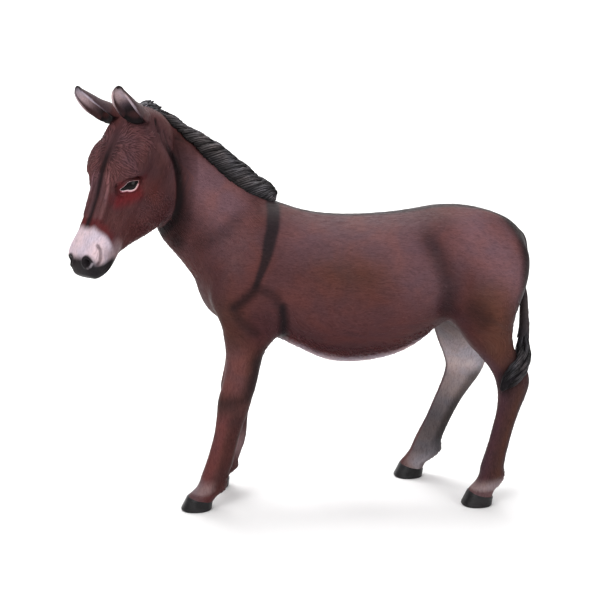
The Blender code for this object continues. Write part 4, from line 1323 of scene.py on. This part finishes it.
def cover_of(points, normals):
    """Where each carved area lies, its strands' directions, and their length, width and height."""
    x, y, z = points.T
    down, front, left = in_face(points)
    wide, side = np.abs(left), np.where(left < 0, -1.0, 1.0)
    hand = np.where(y < 0, -1.0, 1.0)
    head = (x < HEAD_PLANE) & (front > -0.26)
    body = ~head & (x > -0.45)

    def on_face(a, b, c):
        return (np.array(FACE_DOWN) * (one * a)[:, None] + np.array(FACE_FRONT) * (one * b)[:, None]
                + np.array(FACE_LEFT) * (one * c * side)[:, None])

    def on_body(a, b, c):
        return np.stack([one * a, one * b * hand, one * c], 1)

    one = np.ones(len(points))
    clear = head & (np.minimum(*[eye_room(points, s)[0] for s in (1, -1)]) > 0.008)
    cheek_end = np.interp(z, *np.array(CHEEK_EDGE).T)
    belly = np.interp(x, [-0.06, 0.0, 0.04, 0.13, 0.21, 0.31, 0.41],
                      [0.588, 0.566, 0.548, 0.532, 0.538, 0.556, 0.596])
    return [
        # The forehead's strands run out from a whorl between the eyes.
        ("forehead", clear & (down > 0.015) & (down < 0.182) & (wide > 0.013) & (wide < 0.108)
         & (front > -0.046) & (normals @ np.array(-FACE_FRONT) < 0.2),
         on_face(down - 0.095 + 0.25 * wide, 0, wide + 0.012), 0.034, 0.0074, 0.0024, 820),
        ("cheek", clear & (down > 0.16) & (down < 0.30) & (front < -0.095) & (wide > 0.035)
         & (x < cheek_end - 0.008), on_face(0.35, -1, 0), 0.021, 0.0046, 0.0022, 640),
        ("jaw", head & (down > 0.24) & (down < 0.36) & (front < -0.030) & (wide > 0.02),
         on_face(0.9, -1, 0), 0.013, 0.0028, 0.0012, 500),
        ("nose", clear & (down > 0.19) & (down < 0.33) & (wide > 0.014) & (front > -0.02),
         on_face(1, 0, 0.15), 0.012, 0.0024, 0.0008, 260),
        ("throat", ~head & (x < HEAD_PLANE) & (normals[:, 0] < 0.25) & (z < 1.05) & (z > 0.72),
         on_body(0.2, 0.3, -1), 0.022, 0.0034, 0.0010, 420),
        ("neck", body & (x < -0.14) & (z > 0.86) & (np.abs(y) > 0.035),
         on_body(1, 0, -1.3), 0.026, 0.0040, 0.0010, 900),
        ("chest", body & (x < -0.20) & (z < 0.84) & (z > 0.55) & (normals[:, 0] < 0.1),
         on_body(0.15, 0.5, -1), 0.024, 0.0036, 0.0005, 420),
        ("belly", body & (x > -0.05) & (x < 0.42) & (np.abs(z - belly - 0.006) < 0.022)
         & (normals[:, 2] < 0.2), on_body(1, -0.35, -0.75), 0.020, 0.0038, 0.0034, 620),
        ("under", body & (x > -0.05) & (x < 0.44) & (z < belly - 0.016) & (normals[:, 2] < -0.3),
         on_body(1, -0.5, -0.1), 0.020, 0.0036, 0.0011, 420),
        ("flank", body & (x > -0.02) & (x < 0.70) & (z > 0.60),
         on_body(1, 0, -0.22 + 0.5 * np.sin(9 * x)), 0.034, 0.0050, 0.0005, 1500),
        ("elbow", body & (x > -0.13) & (x < -0.02) & (z > 0.53) & (z < 0.68),
         on_body(0.5, 0, -1), 0.020, 0.0040, 0.0016, 160),
        ("thigh", body & (x > 0.60) & (z > 0.42) & (z < 0.72) & (normals[:, 0] > 0.15),
         on_body(0.25, 0, -1), 0.022, 0.0040, 0.0014, 320),
        ("leg", (x > -0.5) & (z < 0.56) & (z > 0.10), on_body(0, 0, -1), 0.015, 0.0028, 0.0007, 1500),
        ("heel", (x > -0.5) & (z < 0.13) & (z > 0.058) & (normals[:, 0] > 0.3),
         on_body(0.3, 0, -1), 0.018, 0.0034, 0.0016, 220),
    ]


# Faces of one strand: its root, two three-cornered sections and its tip.
STRAND_FACES = [(0, 2, 1), (0, 3, 2), (0, 1, 3), (1, 2, 5, 4), (2, 3, 6, 5), (3, 1, 4, 6), (4, 5, 7),
                (5, 6, 7), (6, 4, 7)]


def strand(spot, normal, way, reach, width, height, wave, curl):
    """Points of a strand that follows the surface in a gentle wave, with its place and normal at each."""
    points, places, turned = [], [], []
    for k, (t, w, h) in enumerate(((0.0, 0.0, 0.0), (0.32, 0.9, 1.0), (0.68, 1.0, 0.85), (1.0, 0.0, 0.10))):
        if k:
            step = Matrix.Rotation(curl * math.sin(wave + 3.6 * t), 3, normal) @ way
            spot, normal, _, _ = surface.find_nearest(spot + step * reach * (0.32, 0.36, 0.32)[k - 1])
        across = normal.cross(way).normalized()
        if k in (0, 3):
            section = [spot + normal * (height * h - 0.0003)]
        else:
            section = [spot + across * (u * w * width) + normal * v
                       for u, v in ((-0.5, -0.0004), (0.0, height * h), (0.5, -0.0004))]
        points += section
        places += [spot] * len(section)
        turned += [normal] * len(section)
    return points, places, turned


STRAND_POINTS = 8
# Areas where the carved hair curls; elsewhere it lies straight.
CURLY = ("forehead", "cheek")
# The height from which a strand is painted at full contrast, its ridge lighter with drybrushed paint
# and painted highlight and its feet darker with painted shade; how far strands keep clear of the eye,
# and how many widths apart they stand.
FULL_HEIGHT = 0.0022
EYE_CLEAR = 0.0055
STRAND_GAP = 1.15


def carved_strands(name, wanted, seed):
    """Strands of the named areas as one mesh, painted as the skin under them, lighter on their ridges with
    painted highlight and darker at their feet with painted shade.
    """
    rng = np.random.default_rng(seed)
    skin.data.calc_loop_triangles()
    corners = np.empty(len(skin.data.loop_triangles) * 3, np.int32)
    skin.data.loop_triangles.foreach_get("vertices", corners)
    corners = corners.reshape(-1, 3)
    a, b, c = (skin_points[corners[:, k]] for k in range(3))
    size = np.linalg.norm(np.cross(b - a, c - a), axis=1)
    middles, facing = (a + b + c) / 3, skin_normals[corners].mean(1)
    points, places, turned, depth, roots = [], [], [], [], []
    for area, inside, ways, length, width, height, count in cover_of(middles, facing):
        if area not in wanted:
            continue
        share = np.cumsum(size * inside)
        picks = np.searchsorted(share, (np.arange(count) + rng.uniform(0, 1, count)) / count * share[-1])
        rng.shuffle(picks)
        taken = set()
        for i in np.minimum(picks, len(middles) - 1):
            middle = middles[i]
            cell = tuple(np.round(middle / (width * STRAND_GAP)).astype(int))
            if cell in taken:
                continue
            taken.add(cell)
            normal, way = Vector(facing[i]).normalized(), Vector(ways[i])
            way = (way - normal * way.dot(normal)).normalized()
            way = Matrix.Rotation(rng.normal(0, 0.13 if area in CURLY else 0.07), 3, normal) @ way
            wave = 55 * middle[0] + 70 * middle[2] + rng.uniform(-0.5, 0.5)
            made = strand(Vector(middle), normal, way, length * rng.uniform(0.65, 1.25), width, height, wave,
                          0.48 if area in CURLY else 0.16)
            for whole, new in zip((points, places, turned), made):
                whole.append([tuple(v) for v in new])
            depth.append(min(1.0, height / FULL_HEIGHT))
            roots.append(i)
    points, places, turned, depth, roots = (np.array(v) for v in (points, places, turned, depth, roots))
    room = np.minimum(*[eye_room(places.reshape(-1, 3), side)[0] for side in (1, -1)])
    kept = room.reshape(-1, STRAND_POINTS).min(1) > EYE_CLEAR
    points, places, turned, depth, roots = (v[kept] for v in (points, places, turned, depth, roots))
    faces = [tuple(STRAND_POINTS * k + corner for corner in f)
             for k in range(len(points)) for f in STRAND_FACES]
    mesh = bpy.data.meshes.new(name)
    mesh.from_pydata(points.reshape(-1, 3), [], faces)
    obj = put(name, mesh)
    ridge = np.tile([0.5, 0, 1, 0, 0, 1, 0, 0.5], len(points))[:, None]
    contrast = np.repeat(depth, STRAND_POINTS)[:, None]
    colour = painted(places.reshape(-1, 3), turned.reshape(-1, 3))
    # Ridges lighter, drybrushed paint with painted highlight; feet darker, painted shade.
    colour = colour * (1 + contrast * (0.95 * ridge - 0.38)) + np.array(LILAC) * 0.16 * ridge * contrast
    store_paint(obj, colour)
    store_lie(obj, places.reshape(-1, 3))
    return obj, middles[roots], facing[roots]


# How wide each strand's patch is on the map, and the gap between flat views.
PATCH = 0.003
VIEW_GAP = 0.012


def flat_views(places, facing):
    """An unwrap of the skin's shape: six flat views of the body and of each leg, packed in rows."""
    x, y, z = places.T
    limb = np.where(z < 0.56, 1 + (x > HIND_PLANE) + 2 * (y > 0), 0)
    axis = np.abs(facing).argmax(1)
    view = limb * 6 + axis * 2 + (facing[np.arange(len(facing)), axis] > 0)
    flat = np.where((axis == 0)[:, None], places[:, 1:],
                    np.where((axis == 1)[:, None], places[:, ::2], places[:, :2]))
    boxes = []
    for k in np.unique(view):
        low = flat[view == k].min(0)
        flat[view == k] -= low
        boxes.append((flat[view == k].max(0), k))
    boxes.sort(key=lambda b: -b[0][1])
    scale = 1.6
    while True:
        corner, row, corners = np.array([VIEW_GAP, VIEW_GAP]), 0.0, {}
        for (wide, high), k in boxes:
            if corner[0] + wide * scale + VIEW_GAP > 1:
                corner = np.array([VIEW_GAP, corner[1] + row + VIEW_GAP])
                row = 0.0
            corners[k] = corner.copy()
            corner[0] += wide * scale + VIEW_GAP
            row = max(row, high * scale)
        if corner[1] + row + VIEW_GAP < 1 and max(b[0][0] for b in boxes) * scale < 0.97:
            return flat * scale + np.array([corners[k] for k in view])
        scale *= 0.97


def map_strands(obj, places, facing):
    """Each strand is a small patch at its root's place."""
    across = np.array([0, -0.5, 0, 0.5, -0.5, 0, 0.5, 0]) * PATCH
    along = np.array([-0.5, -0.18, -0.18, -0.18, 0.18, 0.18, 0.18, 0.5]) * PATCH
    corners = (flat_views(places, facing)[:, None] + np.stack([along, across], 1)[None]).reshape(-1, 2)
    used = np.empty(len(obj.data.loops), np.int32)
    obj.data.loops.foreach_get("vertex_index", used)
    obj.data.uv_layers.new(name="OFBake").data.foreach_set("uv", corners[used].astype(np.float32).ravel())


COAT_PIECES = [
    ("coat_head", ("forehead", "cheek", "jaw", "nose"), 3),
    ("coat_neck", ("throat", "neck", "chest"), 4),
    ("coat_body", ("belly", "under", "flank", "elbow", "thigh"), 5),
    ("coat_legs", ("leg", "heel"), 6),
]
strand_paint = painted_material("satin_strand_paint", 0.15, 0.25, 0.20, 0.50)
for name, areas, seed in COAT_PIECES:
    coat, root_places, root_normals = carved_strands(name, areas, seed)
    dress(coat, strand_paint)
    map_strands(coat, root_places, root_normals)
    pieces.append(coat)


# ---------------------------------------------------------------------------------------------
# The mane: an upright crest cast with the neck, carved into locks that sweep up and back and curl
# over at the top, painted black and drybrushed grey on their ridges, with painted highlight there and
# painted shade at the locks' roots.

# Mane: crest line (x, y, z), half width, half height.
MANE = [
    (-0.535, -0.125, 1.276, 0.014, 0.020),
    (-0.503, -0.096, 1.295, 0.022, 0.034),
    (-0.452, -0.060, 1.272, 0.026, 0.042),
    (-0.395, -0.030, 1.230, 0.028, 0.045),
    (-0.335, -0.010, 1.187, 0.028, 0.046),
    (-0.270, -0.003, 1.140, 0.028, 0.047),
    (-0.215, 0.000, 1.094, 0.028, 0.047),
    (-0.160, 0.000, 1.052, 0.027, 0.045),
    (-0.116, 0.000, 1.023, 0.024, 0.038),
    (-0.088, 0.000, 1.000, 0.016, 0.025),
]
MANE_LOCKS = 74
LOCK_RIDGES = 6
LOCK_POINTS = 9
# Grey of the locks' ridges: drybrushed paint and painted highlight.
DRYBRUSH_AND_HIGHLIGHT_GREY = tint(110, 106, 109)


def lock(build, path, wide, thick, facing, turn=0.0, drybrush_and_highlight=1.0):
    """One carved lock along a path: an oval with ridges along it, closed to a point at the tip. Its
    grooves are painted black and its ridges drybrushed grey with painted highlight, most where the lock
    stands out and less towards root and tip, with painted shade at the root."""
    paint = build.verts.layers.float_color.get("paint") or build.verts.layers.float_color.new("paint")
    path = [Vector(p) for p in path]
    rows = []
    count = 2 * LOCK_RIDGES
    for i, middle in enumerate(path):
        ahead = (path[min(i + 1, len(path) - 1)] - path[max(i - 1, 0)]).normalized()
        flat = facing.cross(ahead).normalized()
        out = ahead.cross(flat)
        t = i / (len(path) - 1)
        body = math.sin(math.pi * min(1.0, 0.22 + 0.80 * t)) ** 0.7
        row = []
        for k in range(count):
            a = 2 * math.pi * k / count + turn
            bulge = 1.0 + (0.16 if k % 2 else -0.16)
            vert = build.verts.new(middle + flat * wide * body * bulge * math.cos(a) +
                                   out * thick * body * bulge * math.sin(a))
            grey = DRYBRUSH_AND_HIGHLIGHT_GREY if k % 2 else BLACK * 1.4
            vert[paint] = (*(grey * drybrush_and_highlight * (0.20 + 0.80 * math.sin(math.pi * min(1, 1.08 * t)) ** 3)), 1)
            row.append(vert)
        rows.append(row)
    bridge(build, rows)


def carved_locks(name, build, core):
    """The locks of a build and the core they stand on as one painted piece."""
    bmesh.ops.recalc_face_normals(build, faces=build.faces)
    piece = joined(name, [new_piece("locks", build), core])
    dress(piece, mane_paint)
    store_lie(piece, points_of(piece))
    return piece


def lock_path(points):
    """As many points as a lock has, on a smooth curve."""
    rows = between(points, 6)
    return [rows[round(i * (len(rows) - 1) / (LOCK_POINTS - 1))] for i in range(LOCK_POINTS)]


def mane_frame(t):
    """Middle, direction, side, up, half width and half height of the mane at t, 0 to 1."""
    rows = np.array(MANE)
    place = np.linspace(0, 1, len(rows))

    def at(u):
        return np.array([np.interp(u, place, rows[:, k]) for k in range(5)])

    here = at(t)
    ahead = Vector(at(min(t + 0.04, 1))[:3] - at(max(t - 0.04, 0))[:3]).normalized()
    side = ahead.cross(Vector((0, 0, 1))).normalized()
    return Vector(here[:3]), ahead, side, side.cross(ahead), here[3], here[4]


# Where the lowest locks leave the neck, at each row of MANE: how far out to the side and how far up.
MANE_ROOTS = [(0.014, -0.008), (0.024, 0.002), (0.029, 0.006), (0.031, -0.002), (0.034, -0.010),
              (0.042, -0.022), (0.048, -0.025), (0.046, -0.022), (0.036, -0.016), (0.020, -0.008)]


def mane_locks():
    rng = np.random.default_rng(7)
    build = bmesh.new()
    places = np.linspace(0, 1, len(MANE_ROOTS))
    for i in range(MANE_LOCKS):
        t = 0.94 * (i + 0.3) / MANE_LOCKS
        middle, ahead, side, up, half, high = mane_frame(t)
        out, low = (float(np.interp(t, places, [row[k] for row in MANE_ROOTS])) for k in (0, 1))
        # The locks rise in steps, each a clump that ends in a point, and stop short at the withers.
        proud = (0.176 * i + 0.35 * math.sin(1.7 * i)) % 1.0
        sweep = min(1.0, 0.15 + (0.95 - t) / 0.22)
        top = float(np.interp(t, [0.0, 0.25, 0.40, 0.85, 0.94], [0.62, 0.78, 1.0, 1.0, 0.62]))
        top *= high * 0.70 + 0.013 * proud
        # Each lock's share of drybrushed grey and painted highlight, most on clumps that stand proud.
        shine = (0.30 + 0.70 * abs(math.sin(0.9 * i + 2.0 * math.sin(0.31 * i)))) * (0.7 + 0.6 * proud)
        for hand in (1, -1):
            for level in (0, 1):
                jig = rng.uniform(-1, 1, 6)
                lift = low + 0.004 + 0.016 * level
                root = (middle + up * (lift + 0.002 * jig[5]) + side * hand * out * (1 - 0.30 * level)
                        + ahead * (0.010 * level + 0.003 * jig[0]))
                mid = root + up * (top - lift) * 0.50 + ahead * 0.020 * sweep - side * hand * out * 0.12
                shoulder = (middle + up * (top - 0.004 * (1 - level)) + ahead * (0.044 * sweep)
                            + side * hand * half * (0.62 - 0.22 * level))
                tip = (middle + up * (top + 0.002 * level + 0.005 * jig[3])
                       + ahead * ((0.066 + 0.005 * jig[1]) * sweep)
                       + side * hand * half * (0.30 if level else 0.62))
                path = lock_path((root, mid, shoulder, tip))
                lock(build, path, 0.0068 + 0.0016 * jig[2], 0.0054 + 0.0010 * jig[3], side * hand, jig[4],
                     shine * (0.8 + 0.5 * jig[5]))
        root = middle + up * high * 0.10 + side * rng.uniform(-0.3, 0.3) * half
        path = lock_path((root, root + up * (top - 0.1 * high) * 0.7 + ahead * 0.016 * sweep,
                          middle + up * (top + 0.001) + ahead * 0.040 * sweep,
                          middle + up * (top + 0.003) + ahead * 0.068 * sweep))
        lock(build, path, 0.0085, 0.0080, side, 0.3, shine)
    return build


mane_core = tube("mane_core", [(x, y, z, w * 0.80, h * 0.42) for x, y, z, w, h in MANE[:-1]], 20, 5)
store_paint(mane_core, np.repeat(BLACK[None], len(mane_core.data.vertices), 0))
mane_paint = painted_material("black_paint_drybrushed_and_highlit", 0.9, 0.7, 0.5, 0.42)
mane = carved_locks("donkey_mane", mane_locks(), mane_core)
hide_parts("mane")
pieces.append(mane)


# ---------------------------------------------------------------------------------------------
# The switch of the tail: cast against the left gaskin, carved into long locks that wrap round it
# and end in a point, painted as the mane is.

SWITCH_LOCKS = 70
# Each lock leaves the core this share of a turn further round than the last.
LOCK_TURN = 0.381966
# The switch's middle line (x, y, z), half width and half depth: slim where it leaves the tail, full
# where it sweeps forward over the leg.
SWITCH_LIE = [
    (0.750, -0.048, 0.590, 0.016, 0.012),
    (0.745, -0.062, 0.552, 0.018, 0.014),
    (0.739, -0.084, 0.523, 0.024, 0.022),
    (0.729, -0.116, 0.505, 0.027, 0.026),
    (0.714, -0.148, 0.487, 0.026, 0.030),
    (0.695, -0.172, 0.468, 0.022, 0.031),
    (0.675, -0.187, 0.449, 0.017, 0.028),
    (0.655, -0.192, 0.428, 0.012, 0.022),
    (0.640, -0.190, 0.406, 0.006, 0.008),
]


def switch_locks():
    rng = np.random.default_rng(11)
    rows = np.array(between(SWITCH_LIE, 8))
    build = bmesh.new()
    last = len(rows) - 1
    for i in range(SWITCH_LOCKS):
        turn = 2 * math.pi * (i * LOCK_TURN % 1)
        start = rng.uniform(0.0, 0.62)
        span = rng.uniform(0.26, 0.40)
        path = []
        for k in range(LOCK_POINTS):
            t = min(start + span * k / (LOCK_POINTS - 1), 1.0)
            near = round(t * last)
            row = rows[near]
            ahead = Vector(rows[min(near + 1, last)][:3] - rows[max(near - 1, 0)][:3]).normalized()
            side = (Vector((0, 1, 0)) - ahead * ahead.y).normalized()
            up = ahead.cross(side)
            a = turn + 0.5 * k / (LOCK_POINTS - 1)
            lift = 0.80 + 0.12 * math.sin(math.pi * k / (LOCK_POINTS - 1))
            path.append(Vector(row[:3]) + side * row[3] * lift * math.cos(a)
                        + up * row[4] * lift * math.sin(a))
        facing = side * math.cos(turn) + up * math.sin(turn)
        lock(build, path, rng.uniform(0.0048, 0.0072), 0.0042, facing, rng.uniform(-0.4, 0.4),
             rng.uniform(0.08, 0.80))
    return build


switch_core = tube("switch_core", [(x, y, z, w * 0.84, h * 0.84) for x, y, z, w, h in SWITCH_LIE], 20, 5)
store_paint(switch_core, np.repeat(BLACK[None] * 2, len(switch_core.data.vertices), 0))
switch = carved_locks("donkey_switch", switch_locks(), switch_core)
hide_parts("tail_switch")
pieces.append(switch)


# ---------------------------------------------------------------------------------------------
# The hooves: narrow upright cups, cast with the legs, with faint growth rings and a rounded ground
# edge, painted satin black.

CORONET = 0.050
# How far apart the growth rings lie and how far they stand out.
GROWTH_RING = 0.0085
RING_RELIEF = 0.00015
# Middle of each sole (x, y).
HOOVES = {
    "fore_left": (-0.354, -0.103),
    "fore_right": (-0.294, 0.103),
    "hind_left": (0.5815, -0.142),
    "hind_right": (0.4030, 0.150),
}
# Hoof: height, then front, back and half width, from the middle of the sole.
HOOF = [
    (0.0, -0.0500, 0.0500, 0.0455),
    (0.006, -0.0505, 0.0515, 0.0465),
    (0.028, -0.0405, 0.0530, 0.0440),
    (CORONET, -0.0310, 0.0550, 0.0400),
]
# Height of each hoof's wall at the toe, and how much lower it is at the heel.
WALL = {"fore": (0.043, 0.013), "hind": (0.047, 0.020)}


def hoof_piece(name, place, wall):
    """A cup with growth rings, narrower where it meets the ground and rounded over at the top."""
    rows = np.array(HOOF)
    rings = []
    for height in (0.0, 0.0015, 0.004, *np.linspace(0.007, CORONET, 22), 0.0525, 0.054):
        front, back, half = (np.interp(height, rows[:, 0], rows[:, k]) for k in (1, 2, 3))
        ring = RING_RELIEF * math.sin(height * 2 * math.pi / GROWTH_RING) * (0.008 < height < 0.048)
        tuck = 0.0025 if height == 0 else 0.0008 if height < 0.002 else 0.0
        tuck += 0.004 * max(0.0, (height - CORONET) / 0.004)
        x, deep = place[0] + (front + back) / 2, (back - front) / 2 + ring - tuck
        rings.append([(x + u, place[1] + w, height / CORONET * (wall[0] - wall[1] * (0.5 + 0.5 * u / deep)))
                      for w, u in oval(56, half + ring - tuck, deep, 2.25)])
    return loft(name, rings)


horn, tree, shader = new_finish("satin_hoof_paint")
place = add_node(tree, "ShaderNodeTexCoord").outputs["Object"]
blotch = noise(tree, place, 26.0, 4.0)
grain = noise(tree, place, 240.0, 3.0)
colour = mixed(tree, "MIX", spread(tree, blotch, 0.42, 0.62), (0.008, 0.0072, 0.008, 1),
               (0.018, 0.0165, 0.018, 1))
colour = mixed(tree, "MIX", spread(tree, grain, 0.56, 0.75, 0.0, 0.35), colour, (0.034, 0.031, 0.033, 1))
rough = spread(tree, blotch, 0.3, 0.7, 0.34, 0.46)
feed(tree, shader, {"Base Color": colour, "Roughness": rough, "Specular IOR Level": 0.24,
                    "Normal": bumped(tree, grain, 0.35, 0.0006)})
for corner, place in HOOVES.items():
    hoof = dress(hoof_piece(f"hoof_{corner}_horn", place, WALL[corner[:4]]), horn)
    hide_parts(f"hoof_{corner}")
    pieces.append(hoof)


# ---------------------------------------------------------------------------------------------
# Everything onto the statue's place, under the root body.

for piece in pieces:
    piece.data.transform(Matrix.Translation(MIDLINE))
    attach(piece, "root")
